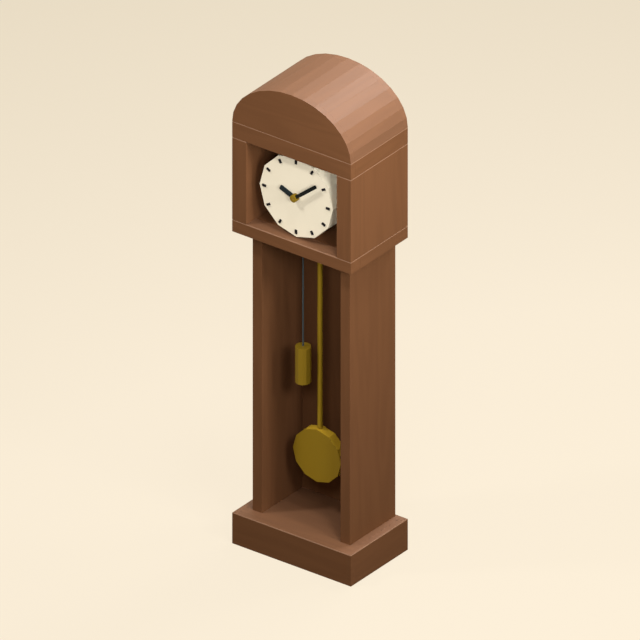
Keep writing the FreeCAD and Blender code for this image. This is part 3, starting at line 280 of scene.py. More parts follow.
@dataclass(frozen=True)
class Metal:
    """A worked metal, with fine marks from its polishing."""

    name: str
    tone: Colour
    roughness: float = 0.40
    marks: float = 0.10
    grain: Axis = Axis.X
    metallic: float = 1.0
    gloss: float = 0.5
    scratch_depth: float = 0.00002

    def make(self) -> bpy.types.Material:
        """Build the material.

        Returns:
            The material.
        """
        made = Surface(self.name)
        place = made.node("TexCoord").outputs["Object"]
        stretch = tuple(0.04 if part else 1.0 for part in self.grain.value)
        lines = made.noise(made.scaled(place, stretch), 900.0, 3.0, 0.6)
        cloud = made.noise(place, 24.0, 4.0, 0.55)
        shade = made.math("ADD", made.math("MULTIPLY", lines, 0.5), made.math("MULTIPLY", cloud, 0.5))
        dull = tuple(part * (1 - self.marks) for part in self.tone)
        bright = tuple(part * (1 + self.marks) for part in self.tone)
        made.feed(made.shader, "Base Color", made.mixed(shade, dull, bright))
        made.shader.inputs["Metallic"].default_value = self.metallic
        made.shader.inputs["Specular IOR Level"].default_value = self.gloss
        rough = made.ranged(cloud, 0.3, 0.7, self.roughness - 0.04, self.roughness + 0.05)
        made.feed(made.shader, "Roughness", rough)
        made.bump(lines, 0.3, self.scratch_depth)
        return made.material


@dataclass(frozen=True)
class Paint:
    """Brushed enamel on metal."""

    name: str
    tone: Colour
    roughness: float = 0.42
    change: float = 0.025
    gloss: float = 0.3
    skin: float = 0.00003

    def make(self) -> bpy.types.Material:
        """Build the material.

        Returns:
            The material.
        """
        made = Surface(self.name)
        place = made.node("TexCoord").outputs["Object"]
        cloud = made.noise(place, 11.0, 4.0, 0.55)
        peel = made.noise(place, 420.0, 2.0)
        dull = tuple(part * (1 - self.change) for part in self.tone)
        bright = tuple(part * (1 + self.change) for part in self.tone)
        made.feed(made.shader, "Base Color", made.mixed(cloud, dull, bright))
        made.shader.inputs["Specular IOR Level"].default_value = self.gloss
        rough = made.ranged(peel, 0.3, 0.7, self.roughness - 0.04, self.roughness + 0.04)
        made.feed(made.shader, "Roughness", rough)
        made.bump(peel, 0.25, self.skin)
        return made.material


@dataclass(frozen=True)
class CastIron:
    """Rough cast iron."""

    name: str
    tone: Colour

    def make(self) -> bpy.types.Material:
        """Build the material.

        Returns:
            The material.
        """
        made = Surface(self.name)
        place = made.node("TexCoord").outputs["Object"]
        sand = made.noise(place, 380.0, 5.0, 0.65)
        dark = tuple(part * 0.7 for part in self.tone)
        made.feed(made.shader, "Base Color", made.mixed(sand, dark, self.tone))
        made.shader.inputs["Metallic"].default_value = 0.6
        made.feed(made.shader, "Roughness", made.ranged(sand, 0.2, 0.8, 0.6, 0.85))
        made.bump(sand, 0.6, 0.0003)
        return made.material


@dataclass(frozen=True)
class LaidCord:
    """The fibres of a twisted cord."""

    name: str
    tone: Colour

    def make(self) -> bpy.types.Material:
        """Build the material.

        Returns:
            The material.
        """
        made = Surface(self.name)
        place = made.node("TexCoord").outputs["Object"]
        fluff = made.noise(place, 2400.0, 3.0, 0.6)
        dark = tuple(part * 0.65 for part in self.tone)
        pale = tuple(part * 1.3 for part in self.tone)
        made.feed(made.shader, "Base Color", made.mixed(fluff, dark, pale))
        made.feed(made.shader, "Roughness", made.ranged(fluff, 0.0, 1.0, 0.7, 0.95))
        made.bump(fluff, 0.5, 0.0002)
        return made.material


Finish = Wood | Metal | Paint | CastIron | LaidCord

WOOD_X = Wood("case_wood_level", Axis.X)
WOOD_Y = Wood("case_wood_deep", Axis.Y)
WOOD_Z = Wood("case_wood_upright", Axis.Z)
POLISHED_X = Wood("polished_wood_level", Axis.X, gloss=0.45)
POLISHED_Y = Wood("polished_wood_deep", Axis.Y, gloss=0.45)
POLISHED_Z = Wood("polished_wood_upright", Axis.Z, gloss=0.45)
ARCH_WOOD = Wood("arch_wood", Axis.Y, gloss=0.34)
# Paler wood for the upward-looking facets along the case's top edges: a painted highlight.
PAINTED_HIGHLIGHT_TONE = screen_colour(120, 85, 60)
PAINTED_HIGHLIGHT_X = Wood("worn_edge_level", Axis.X, tone=PAINTED_HIGHLIGHT_TONE, gloss=0.5)
PAINTED_HIGHLIGHT_Y = Wood("worn_edge_deep", Axis.Y, tone=PAINTED_HIGHLIGHT_TONE, gloss=0.5)
PAINTED_HIGHLIGHT_Z = Wood("worn_edge_upright", Axis.Z, tone=PAINTED_HIGHLIGHT_TONE, gloss=0.5)
DEAL = Wood("plain_wood", Axis.Z, tone=screen_colour(168, 132, 96), deep=0.85, roughness=0.7)
DIAL_PAINT = Paint("dial_enamel", screen_colour(230, 219, 195))
# Enamel painted paler than the dial for the drum, to make up for the shade its sides stand in inside the hood.
DRUM_PAINTED_LIGHT = Paint("drum_enamel", screen_colour(247, 237, 210))
MARKER_PAINT = Paint("marker_enamel", screen_colour(16, 13, 17), roughness=0.5, change=0.1, gloss=0.1)
HOUR_STEEL = Metal(
    "blued_steel", screen_colour(25, 33, 36), roughness=0.5, metallic=0.2, gloss=0.1, grain=Axis.Z
)
MINUTE_STEEL = Metal(
    "dark_blued_steel", screen_colour(8, 13, 13), roughness=0.5, metallic=0.2, gloss=0.1, grain=Axis.Z
)
BRASS = Metal("polished_brass", screen_colour(127, 102, 24), roughness=0.5, metallic=0.3, gloss=0.1)
BOB_BRASS = Metal("sheet_brass", screen_colour(137, 110, 24), roughness=0.5, metallic=0.3, gloss=0.1)
# Brass painted lighter for the rod, to make up for the shade it hangs in under the hood.
ROD_BRASS_PAINTED_LIGHT = Metal("drawn_brass", screen_colour(146, 118, 28), roughness=0.5, metallic=0.3, gloss=0.1)
# Brass painted paler for the bob's upward and right-facing facets: a painted highlight.
PAINTED_HIGHLIGHT_BRASS = Metal("bright_brass", screen_colour(196, 158, 44), roughness=0.45, metallic=0.3, gloss=0.1)
MOVEMENT_BRASS = Metal("grained_brass", screen_colour(178, 142, 66), roughness=0.38, grain=Axis.Z)
ARBOR_STEEL = Metal("polished_steel", screen_colour(150, 152, 156), roughness=0.3)
ARBOR_END_STEEL = Metal(
    "browned_steel", screen_colour(112, 94, 46), roughness=0.55, metallic=0.2, gloss=0.1
)
IRON = CastIron("cast_iron", screen_colour(70, 68, 68))
CORD = LaidCord("slate_cord", screen_colour(49, 59, 62))

SLOT_FINISH: dict[str, Finish] = {
    "case_wood": WOOD_X,
    "plain_wood": DEAL,
    "dial_paint": DIAL_PAINT,
    "marker_paint": MARKER_PAINT,
    "hand_steel": HOUR_STEEL,
    "polished_brass": BRASS,
    "movement_brass": MOVEMENT_BRASS,
    "arbor_steel": ARBOR_STEEL,
    "core_iron": IRON,
    "line_fibre": CORD,
}
UPRIGHT_NODES = ("backboard", "plinth_blocks", "seat_blocks")
NODE_FINISH: dict[str, Finish] = {
    "plinth_top": POLISHED_X,
    "dial_drum": DRUM_PAINTED_LIGHT,
    "centre_arbor": ARBOR_END_STEEL,
}


class Finishes:
    """The materials in use, each made once."""

    def __init__(self) -> None:
        """Start with none."""
        self.made: dict[str, bpy.types.Material] = {}

    def material(self, finish: Finish) -> bpy.types.Material:
        """Give a finish's material, made the first time it is asked for."""
        if finish.name not in self.made:
            self.made[finish.name] = finish.make()
        return self.made[finish.name]


FINISHES = Finishes()


class Form:
    """A mesh in the making, in metres in the clock's frame."""

    def __init__(self) -> None:
        """Start an empty mesh."""
        self.bm = bmesh.new()
        self.mark = self.bm.verts.layers.float.new(BOARD_MARK)
        self.finishes: list[Finish] = []

    def part(self, finish: Finish, mark: float = 0.0) -> "Part":
        """Start a separate part of the piece.

        Args:
            finish: The part's finish.
            mark: A number that sets its grain apart from its neighbours'.

        Returns:
            The part, still empty.
        """
        return Part(self, self.finish_index(finish), mark)

    def finish_index(self, finish: Finish) -> int:
        """The place of a finish in the piece's list, where it is put if it is new."""
        if finish not in self.finishes:
            self.finishes.append(finish)
        return self.finishes.index(finish)

    def piece(
        self, name: str, body: str, slot: str, replaces: Sequence[str] = (), smooth: float = 0.0
    ) -> bpy.types.Object:
        """Turn the mesh into a piece of the clock.

        Args:
            name: The piece's name.
            body: The body that it moves with, or nothing to leave it unattached.
            slot: The record's material slot; not used.
            replaces: The frame's nodes that it stands for.
            smooth: The widest angle, in degrees, that is shaded as a curve.

        Returns:
            The piece.
        """
        limit = math.radians(smooth)
        for face in self.bm.faces:
            face.smooth = smooth > 0
        for edge in self.bm.edges:
            edge.smooth = edge.is_manifold and edge.calc_face_angle(0.0) <= limit
        mesh = bpy.data.meshes.new(name)
        self.bm.to_mesh(mesh)
        self.bm.free()
        for finish in self.finishes:
            mesh.materials.append(FINISHES.material(finish))
        made = bpy.data.objects.new(name, mesh)
        bpy.context.scene.collection.objects.link(made)
        if body:
            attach(made, body)
        if replaces:
            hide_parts(*replaces)
        log.info("%s: %d faces", name, len(mesh.polygons))
        return made


class Part:
    """One closed shell of a piece."""

    def __init__(self, form: Form, finish_index: int, mark: float) -> None:
        """Note what came before in the mesh, so that only new faces are touched.

        Args:
            form: The mesh that the part belongs to.
            finish_index: The place of its finish in the mesh's list.
            mark: The number that sets its grain apart.
        """
        self.form = form
        self.bm = form.bm
        self.before = set(self.bm.faces)
        self.finish_index = finish_index
        self.mark = mark

    @property
    def faces(self) -> list[bmesh.types.BMFace]:
        """The part's own faces."""
        return [face for face in self.bm.faces if face not in self.before]

    @property
    def edges(self) -> list[bmesh.types.BMEdge]:
        """The part's own edges."""
        return list({edge: None for face in self.faces for edge in face.edges})

    @property
    def verts(self) -> list[bmesh.types.BMVert]:
        """The part's own corners."""
        return list({vert: None for face in self.faces for vert in face.verts})

    def block(self, low: Vector, high: Vector) -> "Part":
        """Make a box between two corners."""
        place = Matrix.Translation((low + high) / 2) @ Matrix.Diagonal((*(high - low), 1.0))
        bmesh.ops.create_cube(self.bm, size=1.0, matrix=place)
        return self

    def prism(self, outline: Iterable[Vector], travel: Vector) -> "Part":
        """Make a solid by pushing a flat outline along a line.

        Args:
            outline: The outline's corners in order.
            travel: How far and which way it is pushed.

        Returns:
            The part.
        """
        base = self.bm.faces.new([self.bm.verts.new(point) for point in outline])
        pushed = bmesh.ops.extrude_face_region(self.bm, geom=[base])["geom"]
        moved = [item for item in pushed if isinstance(item, bmesh.types.BMVert)]
        bmesh.ops.translate(self.bm, verts=moved, vec=travel)
        bmesh.ops.recalc_face_normals(self.bm, faces=self.faces)
        return self

    def lathe(
        self, profile: Sequence[tuple[float, float]], centre: Vector, axis: Axis, steps: int, turn: float = 0.0
    ) -> "Part":
        """Turn a profile once round an axis.

        Args:
            profile: Points as distance from the axis and place along it from the centre, in order.
            centre: A point on the axis.
            axis: The way the axis runs.
            steps: How many steps the full turn has.
            turn: How far the first point is turned, in radians.

        Returns:
            The part.
        """
        out = Axis.Z.vector if axis is Axis.Y else Axis.X.vector
        out = Matrix.Rotation(turn, 3, axis.vector) @ out
        points = [self.bm.verts.new(centre + out * far + axis.vector * along) for far, along in profile]
        rims = [self.bm.edges.new(pair) for pair in zip(points, points[1:])]
        bmesh.ops.spin(
            self.bm, geom=points + rims, cent=centre, axis=axis.vector, angle=FULL_TURN, steps=steps,
            use_merge=True,
        )
        bmesh.ops.remove_doubles(self.bm, verts=self.verts, dist=WELD)
        bmesh.ops.recalc_face_normals(self.bm, faces=self.faces)
        return self

    def ease(self, edges: Sequence[bmesh.types.BMEdge], width: float, segments: int) -> "Part":
        """Round edges over.

        Args:
            edges: The edges.
            width: How far the rounding reaches on each side.
            segments: How many flats make the rounding.

        Returns:
            The part.
        """
        if edges:
            bmesh.ops.bevel(
                self.bm, geom=list(edges), offset=width, segments=segments, profile=0.5,
                affect="EDGES", clamp_overlap=True, material=-1,
            )
        return self

    def between(self, sides: Iterable[Side]) -> list[bmesh.types.BMEdge]:
        """The edges where two of these faces meet."""
        ways = [side.vector for side in sides]

        def looks(face: bmesh.types.BMFace) -> bool:
            """Whether a face looks one of these ways."""
            return any((face.normal - way).length < MM for way in ways)

        return [edge for edge in self.edges if all(looks(face) for face in edge.link_faces)]

    def rim(self, side: Side) -> list[bmesh.types.BMEdge]:
        """The edges of the faces that look one way."""
        ends = [face for face in self.faces if (face.normal - side.vector).length < MM]
        return list({edge: None for face in ends for edge in face.edges})

    def sharp(self, angle: float) -> list[bmesh.types.BMEdge]:
        """The edges that turn by more than an angle, in degrees."""
        return [edge for edge in self.edges if edge.calc_face_angle(0.0) > math.radians(angle)]

    def done(self) -> None:
        """Give the part's faces their finish and its corners their mark."""
        bmesh.ops.recalc_face_normals(self.bm, faces=self.faces)
        for face in self.faces:
            face.material_index = self.finish_index
        for vert in self.verts:
            vert[self.form.mark] = self.mark

    def refinish(self, finish: Finish, way: Vector, least: float) -> None:
        """Give another finish to the faces that look one way.

        Args:
            finish: Their finish.
            way: The way they look.
            least: The least cosine of the angle between them and that way.
        """
        index = self.form.finish_index(finish)
        for face in self.faces:
            if face.normal.dot(way) > least:
                face.material_index = index


def wood_along(axis: Axis) -> Wood:
    """The case's wood with its grain along an axis."""
    return {Axis.X: WOOD_X, Axis.Y: WOOD_Y, Axis.Z: WOOD_Z}[axis]


def polished_along(axis: Axis) -> Wood:
    """The wood of the case's level upper faces, with its grain along an axis."""
    return {Axis.X: POLISHED_X, Axis.Y: POLISHED_Y, Axis.Z: POLISHED_Z}[axis]


def painted_highlight_along(axis: Axis) -> Wood:
    """The case's wood painted paler for its upward-looking edge facets, a painted highlight, with its grain
    along an axis.
    """
    return {Axis.X: PAINTED_HIGHLIGHT_X, Axis.Y: PAINTED_HIGHLIGHT_Y, Axis.Z: PAINTED_HIGHLIGHT_Z}[axis]


def cut_from(piece: bpy.types.Object, cutters: Iterable[bpy.types.Object]) -> None:
    """Cut holes in a piece, and delete what cut them.

    Args:
        piece: The piece.
        cutters: The solids to take away from it.
    """
    for cutter in cutters:
        knife = piece.modifiers.new("cut", "BOOLEAN")
        knife.operation = "DIFFERENCE"
        knife.solver = "EXACT"
        knife.object = cutter
        view = bpy.context.evaluated_depsgraph_get()
        whole = bpy.data.meshes.new_from_object(piece.evaluated_get(view))
        piece.modifiers.remove(knife)
        piece.data = whole
        bpy.data.objects.remove(cutter)


@dataclass(frozen=True)
class Board:
    """One wooden board with eased edges."""

    low: Vector
    high: Vector
    grain: Axis
    outer: frozenset[Side] = ALL_SIDES
    mark: float = 0.0
    rounding: float = 0.7 * MM
    top_rounding: float = 3.0 * MM
    seam: float = 0.25 * MM
    flats: int = 3

    def add(self, form: Form) -> None:
        """Add the board to a mesh: round its outer edges and chamfer the ones at its seams.

        Args:
            form: The mesh.
        """
        part = form.part(wood_along(self.grain), self.mark)
        part.block(self.low, self.high)
        top = set(part.rim(Side.TOP))
        part.ease([edge for edge in part.between(self.outer) if edge in top], self.top_rounding, self.flats)
        part.ease(part.between(self.outer), self.rounding, self.flats)
        for side in sorted(ALL_SIDES - self.outer, key=lambda one: one.name):
            part.ease(part.rim(side), self.seam, 1)
        part.done()
        # Faces that look upward get the paler wood, a painted highlight; the level tops then go back to the
        # polished wood.
        part.refinish(painted_highlight_along(self.grain), Side.TOP.vector, UPWARD)
        part.refinish(polished_along(self.grain), Side.TOP.vector, LEVEL)


@dataclass(frozen=True)
class BoxFrame:
    """Four boards round the case: front, back, left and right."""

    node: str
    body: str
    board: float
    first_mark: float

    def build(self) -> None:
        """Build the four boards as four pieces that stand for one node."""
        low, high = node_box(self.node)
        inner_front = low.y + self.board
        inner_back = high.y - self.board
        inner_left = low.x + self.board
        inner_right = high.x - self.board
        ends = ALL_SIDES - {Side.FRONT, Side.BACK}
        boards = {
            "front": Board(low, Vector((high.x, inner_front, high.z)), Axis.X, ALL_SIDES - {Side.BACK}),
            "back": Board(Vector((low.x, inner_back, low.z)), high, Axis.X, ALL_SIDES - {Side.FRONT}),
            "left": Board(
                Vector((low.x, inner_front, low.z)), Vector((inner_left, inner_back, high.z)),
                Axis.Y, ends - {Side.RIGHT},
            ),
            "right": Board(
                Vector((inner_right, inner_front, low.z)), Vector((high.x, inner_back, high.z)),
                Axis.Y, ends - {Side.LEFT},
            ),
        }
        for count, (where, board) in enumerate(boards.items()):
            form = Form()
            marked = Board(board.low, board.high, board.grain, board.outer, self.first_mark + count)
            marked.add(form)
            form.piece(f"{self.node}_{where}", self.body, "case_wood", [self.node])


@dataclass
class Plinth:
    """The plinth that the clock stands on."""

    board: float = 22.0 * MM

    def build(self) -> None:
        """Build the four boards; the top board and the glue blocks keep their own shapes."""
        BoxFrame("plinth_boards", "case", self.board, 1.0).build()


@dataclass
class Trunk:
    """The open-fronted trunk."""

    tenon_width: float = 60.0 * MM
    tenon_thickness: float = 16.0 * MM
    tenon_inset: float = 36.0 * MM
    marks: tuple[float, float] = (7.0, 9.0)

    def build(self) -> None:
        """Build both sides with the tenons that go down into the plinth's top."""
        _, shelf = node_box("plinth_top")
        for name, mark in zip(("trunk_left", "trunk_right"), self.marks):
            low, high = node_box(name)
            form = Form()
            foot = Vector((low.x, low.y, shelf.z))
            outer = frozenset({Side.LEFT, Side.RIGHT, Side.FRONT, Side.BACK})
            Board(foot, high, Axis.Z, outer, mark).add(form)
            middle = (low.x + high.x) / 2
            for start in (low.y + self.tenon_inset, high.y - self.tenon_inset - self.tenon_width):
                part = form.part(wood_along(Axis.Z), mark)
                part.block(
                    Vector((middle - self.tenon_thickness / 2, start, low.z)),
                    Vector((middle + self.tenon_thickness / 2, start + self.tenon_width, shelf.z)),
                )
                part.done()
            form.piece(f"{name}_side", "case", "case_wood", [name])


@dataclass
class Hood:
    """The hood: floor frame, sides, frieze and the arched top."""

    frieze_board: float = 24.0 * MM
    facets: int = 16
    stave: float = 20.0 * MM
    seam: float = 0.15 * MM
    side_marks: tuple[float, float] = (12.0, 14.0)
    first_stave_mark: float = 30.0

    def build(self) -> None:
        """Build every board of the hood but its ceiling."""
        self.build_base()
        for name, mark in zip(("hood_left_side", "hood_right_side"), self.side_marks):
            form = Form()
            Board(*node_box(name), Axis.Z, ALL_SIDES, mark).add(form)
            form.piece(f"{name}_board", "hood", "case_wood", [name])
        BoxFrame("frieze_boards", "hood", self.frieze_board, 18.0).build()
        self.build_arch_boards()
        self.build_staves()

    def build_base(self) -> None:
        """Build the floor frame: a rail across the front and an arm along each side."""
        low, high = node_box("hood_base")
        seat_low, seat_high = node_box("seatboard")
        side_low, _ = node_box("hood_right_side")
        rail_back = seat_low.y - 0.5 * MM
        arm = side_low.x
        rail = Board(low, Vector((high.x, rail_back, high.z)), Axis.X, ALL_SIDES - {Side.BACK}, 23.0)
        right = Board(
            Vector((arm, rail_back, low.z)), high, Axis.Y, ALL_SIDES - {Side.FRONT, Side.LEFT}, 24.0
        )
        left = Board(
            Vector((low.x, rail_back, low.z)), Vector((-arm, high.y, high.z)), Axis.Y,
            ALL_SIDES - {Side.FRONT, Side.RIGHT}, 25.0,
        )
        for where, board in (("rail", rail), ("right_arm", right), ("left_arm", left)):
            form = Form()
            board.add(form)
            form.piece(f"hood_base_{where}", "hood", "case_wood", ["hood_base"])

    def outline(self, index: int, inset: float) -> tuple[float, float]:
        """A corner of the arch's outline.

        Args:
            index: The corner's number, from the right-hand foot.
            inset: How far the outline is drawn in.

        Returns:
            The corner's place along X and Z.
        """
        low, high = node_box("arch_front")
        angle = math.pi * index / self.facets
        across = (high.x - inset) * math.cos(angle)
        return across, low.z + (high.z - low.z - inset) * math.sin(angle)

    def build_arch_boards(self) -> None:
        """Build the arched boards that close the top's front and back."""
        for name, mark in (("arch_front", 27.0), ("arch_back", 28.0)):
            low, high = node_box(name)
            form = Form()
            part = form.part(WOOD_X, mark)
            corners = [self.outline(index, 0.0) for index in range(self.facets + 1)]
            part.prism([Vector((x, low.y, z)) for x, z in corners], Vector((0.0, high.y - low.y, 0.0)))
            part.ease(part.sharp(60.0), self.seam, 1)
            part.done()
            part.refinish(ARCH_WOOD, Side.TOP.vector, UPWARD)
            form.piece(f"{name}_board", "hood", "case_wood", [name])

    def build_staves(self) -> None:
        """Build the flat staves between the arched boards."""
        low, high = node_box("arch_staves")
        form = Form()
        for index in range(self.facets):
            part = form.part(ARCH_WOOD, self.first_stave_mark + index)
            corners = [
                self.outline(index, 0.0), self.outline(index + 1, 0.0),
                self.outline(index + 1, self.stave), self.outline(index, self.stave),
            ]
            part.prism([Vector((x, low.y, z)) for x, z in corners], Vector((0.0, high.y - low.y, 0.0)))
            part.ease(part.sharp(60.0), self.seam, 1)
            part.done()
        form.piece("arch_stave_set", "hood", "case_wood", ["arch_staves"])


@dataclass
class Dial:
    """The twelve-sided dial with its hour markers."""

    radius: float = 154.0 * MM
    sides: int = 12
    marker_count: int = 12
    marker_radius: float = 134.0 * MM
    marker_length: float = 15.0 * MM
    marker_width: float = 8.5 * MM
    marker_rounding: float = 0.6 * MM

    @property
    def centre(self) -> Vector:
        """The middle of the dial's front face."""
        low, high = node_box("dial_plate")
        return Vector(((low.x + high.x) / 2, low.y, (low.z + high.z) / 2))

    def build(self) -> None:
        """Build the hour markers; the plate, drum, feet and cap keep their own shapes."""
        low, high = node_box("hour_markers")
        half = self.marker_width / 2
        middle = self.centre
        form = Form()
        for count in range(self.marker_count):
            part = form.part(MARKER_PAINT)
            inner = middle.z + self.marker_radius - self.marker_length / 2
            part.block(Vector((-half, low.y, inner)), Vector((half, high.y, inner + self.marker_length)))
            front = [edge for edge in part.edges if all(vert.co.y < low.y + WELD for vert in edge.verts)]
            part.ease(front, self.marker_rounding, 2)
            spin = Matrix.Rotation(FULL_TURN * count / self.marker_count, 3, Axis.Y.vector)
            bmesh.ops.rotate(form.bm, verts=part.verts, cent=middle, matrix=spin)
            part.done()
        form.piece("hour_marker_bars", "case", "marker_paint", ["hour_markers"])


@dataclass
class Hand:
    """A flat round-ended hand let into its collet."""

    node: str
    body: str
    length: float
    width: float
    root: float
    turn: float
    finish: Metal
    corner: float
    tip_steps: int = 6
    rounding: float = 0.5 * MM

    def build(self, centre: Vector) -> None:
        """Build the hand, turned clockwise from twelve.

        Args:
            centre: The middle of the dial's front face.
        """
        low, high = node_box(self.node)
        half = self.width / 2
        tip = centre.z + self.length - self.corner
        corners = [Vector((half, high.y, centre.z + self.root))]
        for side, quarter in ((1, 0), (-1, 1)):
            for step in range(self.tip_steps + 1):
                angle = (quarter + step / self.tip_steps) * math.pi / 2
                across = side * (half - self.corner) + self.corner * math.cos(angle)
                corners.append(Vector((across, high.y, tip + self.corner * math.sin(angle))))
        corners.append(Vector((-half, high.y, centre.z + self.root)))
        form = Form()
        part = form.part(self.finish)
        part.prism(corners, Vector((0.0, low.y - high.y, 0.0)))
        front = [edge for edge in part.edges if all(vert.co.y < low.y + WELD for vert in edge.verts)]
        part.ease(front, self.rounding, 2)
        spin = Matrix.Rotation(math.radians(self.turn), 3, Axis.Y.vector)
        bmesh.ops.rotate(form.bm, verts=part.verts, cent=centre, matrix=spin)
        part.done()
        form.piece(f"{self.node}_blade", self.body, "hand_steel", [self.node], smooth=40.0)


@dataclass
class Collet:
    """A turned brass collet on the hands' axis."""

    node: str
    body: str
    bore: float
    radius: float = 13.5 * MM
    steps: int = 48
    rounding: float = 0.8 * MM

    def build(self, centre: Vector) -> None:
        """Build the collet as a ring turned round the hands' axis.

        Args:
            centre: The middle of the dial's front face.
        """
        low, high = node_box(self.node)
        front, back = low.y - centre.y, high.y - centre.y
        profile = [
            (self.bore, back), (self.bore, front), (self.radius - self.rounding, front),
            (self.radius - self.rounding * 0.3, front + self.rounding * 0.3),
            (self.radius, front + self.rounding), (self.radius, back), (self.bore, back),
        ]
        form = Form()
        form.part(BRASS).lathe(profile, centre, Axis.Y, self.steps).done()
        form.piece(f"{self.node}_ring", self.body, "polished_brass", [self.node], smooth=30.0)


@dataclass
class Hands:
    """Both hands on their collets."""

    hour: Hand = field(default_factory=lambda: Hand(
        "hour_hand", "hour", 65.0 * MM, 18.0 * MM, 9.0 * MM, 291.5, HOUR_STEEL,
        4.0 * MM))
    minute: Hand = field(default_factory=lambda: Hand(
        "minute_hand", "centre", 121.0 * MM, 13.0 * MM, 5.0 * MM, 50.7, MINUTE_STEEL,
        4.5 * MM))

    def build(self, centre: Vector) -> None:
        """Build the two hands.

        Args:
            centre: The middle of the dial's front face.
        """
        self.hour.build(centre)
        self.minute.build(centre)


@dataclass
class Pendulum:
    """The pendulum's rod and its twelve-sided bob."""

    rod_steps: int = 32
    rod_rounding: float = 1.0 * MM
    thread_radius: float = 4.0 * MM
    bob_sides: int = 12
    bob_wall: float = 2.0 * MM
    rim_rounding: float = 1.0 * MM
    # The least cosine for the facets that get the painted highlight, or go back to plain bob brass at the
    # front.
    bright_slope: float = 0.2

    def build(self) -> None:
        """Build the rod and the bob's shell."""
        self.build_rod()
        self.build_bob()

    def build_rod(self) -> None:
        """Build the rod, with the thread that the rating nut runs on."""
        low, high = node_box("pendulum_rod")
        radius = (high.x - low.x) / 2
        centre = Vector(((low.x + high.x) / 2, (low.y + high.y) / 2, low.z))
        top = high.z - low.z
        thread_top = 26.0 * MM
        profile = [
            (0.0, 0.0), (self.thread_radius, 0.0), (self.thread_radius, thread_top), (radius, thread_top),
            (radius, top - self.rod_rounding), (radius - self.rod_rounding, top), (0.0, top),
        ]
        form = Form()
        form.part(ROD_BRASS_PAINTED_LIGHT).lathe(profile, centre, Axis.Z, self.rod_steps).done()
        form.piece("pendulum_rod_tube", "pendulum", "polished_brass", ["pendulum_rod"], smooth=30.0)

    def build_bob(self) -> None:
        """Build the bob's shell: a twelve-sided case with a hole for the rod and a pocket for the nut."""
        low, high = node_box("bob_shell")
        radius = (high.x - low.x) / 2
        middle = Vector(((low.x + high.x) / 2, low.y, (low.z + high.z) / 2))
        step = FULL_TURN / self.bob_sides
        corners = [
            middle + Vector((radius * math.cos(index * step), 0.0, radius * math.sin(index * step)))
            for index in range(self.bob_sides)
        ]
        form = Form()
        part = form.part(BOB_BRASS)
        part.prism(corners, Vector((0.0, high.y - low.y, 0.0)))
        part.ease(part.sharp(60.0), self.rim_rounding, 3)
        part.done()
        # Facets that look up or right get paler brass, a painted highlight; the front-facing facets keep the
        # plain bob brass.
        for side in (Side.TOP, Side.RIGHT):
            part.refinish(PAINTED_HIGHLIGHT_BRASS, side.vector, self.bright_slope)
        part.refinish(BOB_BRASS, Side.FRONT.vector, self.bright_slope)
        shell = form.piece("bob_shell_case", "", "polished_brass", ["bob_shell"])
        core_low, core_high = node_box("bob_core")
        hollow = Form()
        inside = radius - self.bob_wall
        across = [
            Vector((inside * math.cos(index * step), 0.0, inside * math.sin(index * step)))
            for index in range(self.bob_sides)
        ]
        hollow.part(BRASS).prism(
            [Vector((middle.x, core_low.y, middle.z)) + way for way in across],
            Vector((0.0, core_high.y - core_low.y, 0.0)),
        ).done()
        rod_low, rod_high = node_box("pendulum_rod")
        rod_radius = (rod_high.x - rod_low.x) / 2 + 0.3 * MM
        channel = Form()
        channel.part(BRASS).lathe(
            [(0.0, 0.0), (rod_radius, 0.0), (rod_radius, radius * 2), (0.0, radius * 2)],
            Vector((0.0, (rod_low.y + rod_high.y) / 2, rod_low.z + 21.0 * MM)), Axis.Z, self.rod_steps,
        ).done()
        nut_low, nut_high = node_box("rating_nut")
        room = Vector((1.5 * MM, 1.5 * MM, 0.0))
        pocket = Form()
        pocket.part(BRASS).block(
            Vector((nut_low.x, nut_low.y, core_low.z)) - room, Vector((nut_high.x, high.y, nut_high.z)) + room
        ).done()
        cut_from(shell, [self.cutter(hollow), self.cutter(channel), self.cutter(pocket)])
        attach(shell, "bob")

    def cutter(self, form: Form) -> bpy.types.Object:
        """Turn a mesh into a solid that cuts, which is deleted after its cut."""
        mesh = bpy.data.meshes.new("cutter")
        form.bm.to_mesh(mesh)
        form.bm.free()
        made = bpy.data.objects.new("cutter", mesh)
        bpy.context.scene.collection.objects.link(made)
        return made


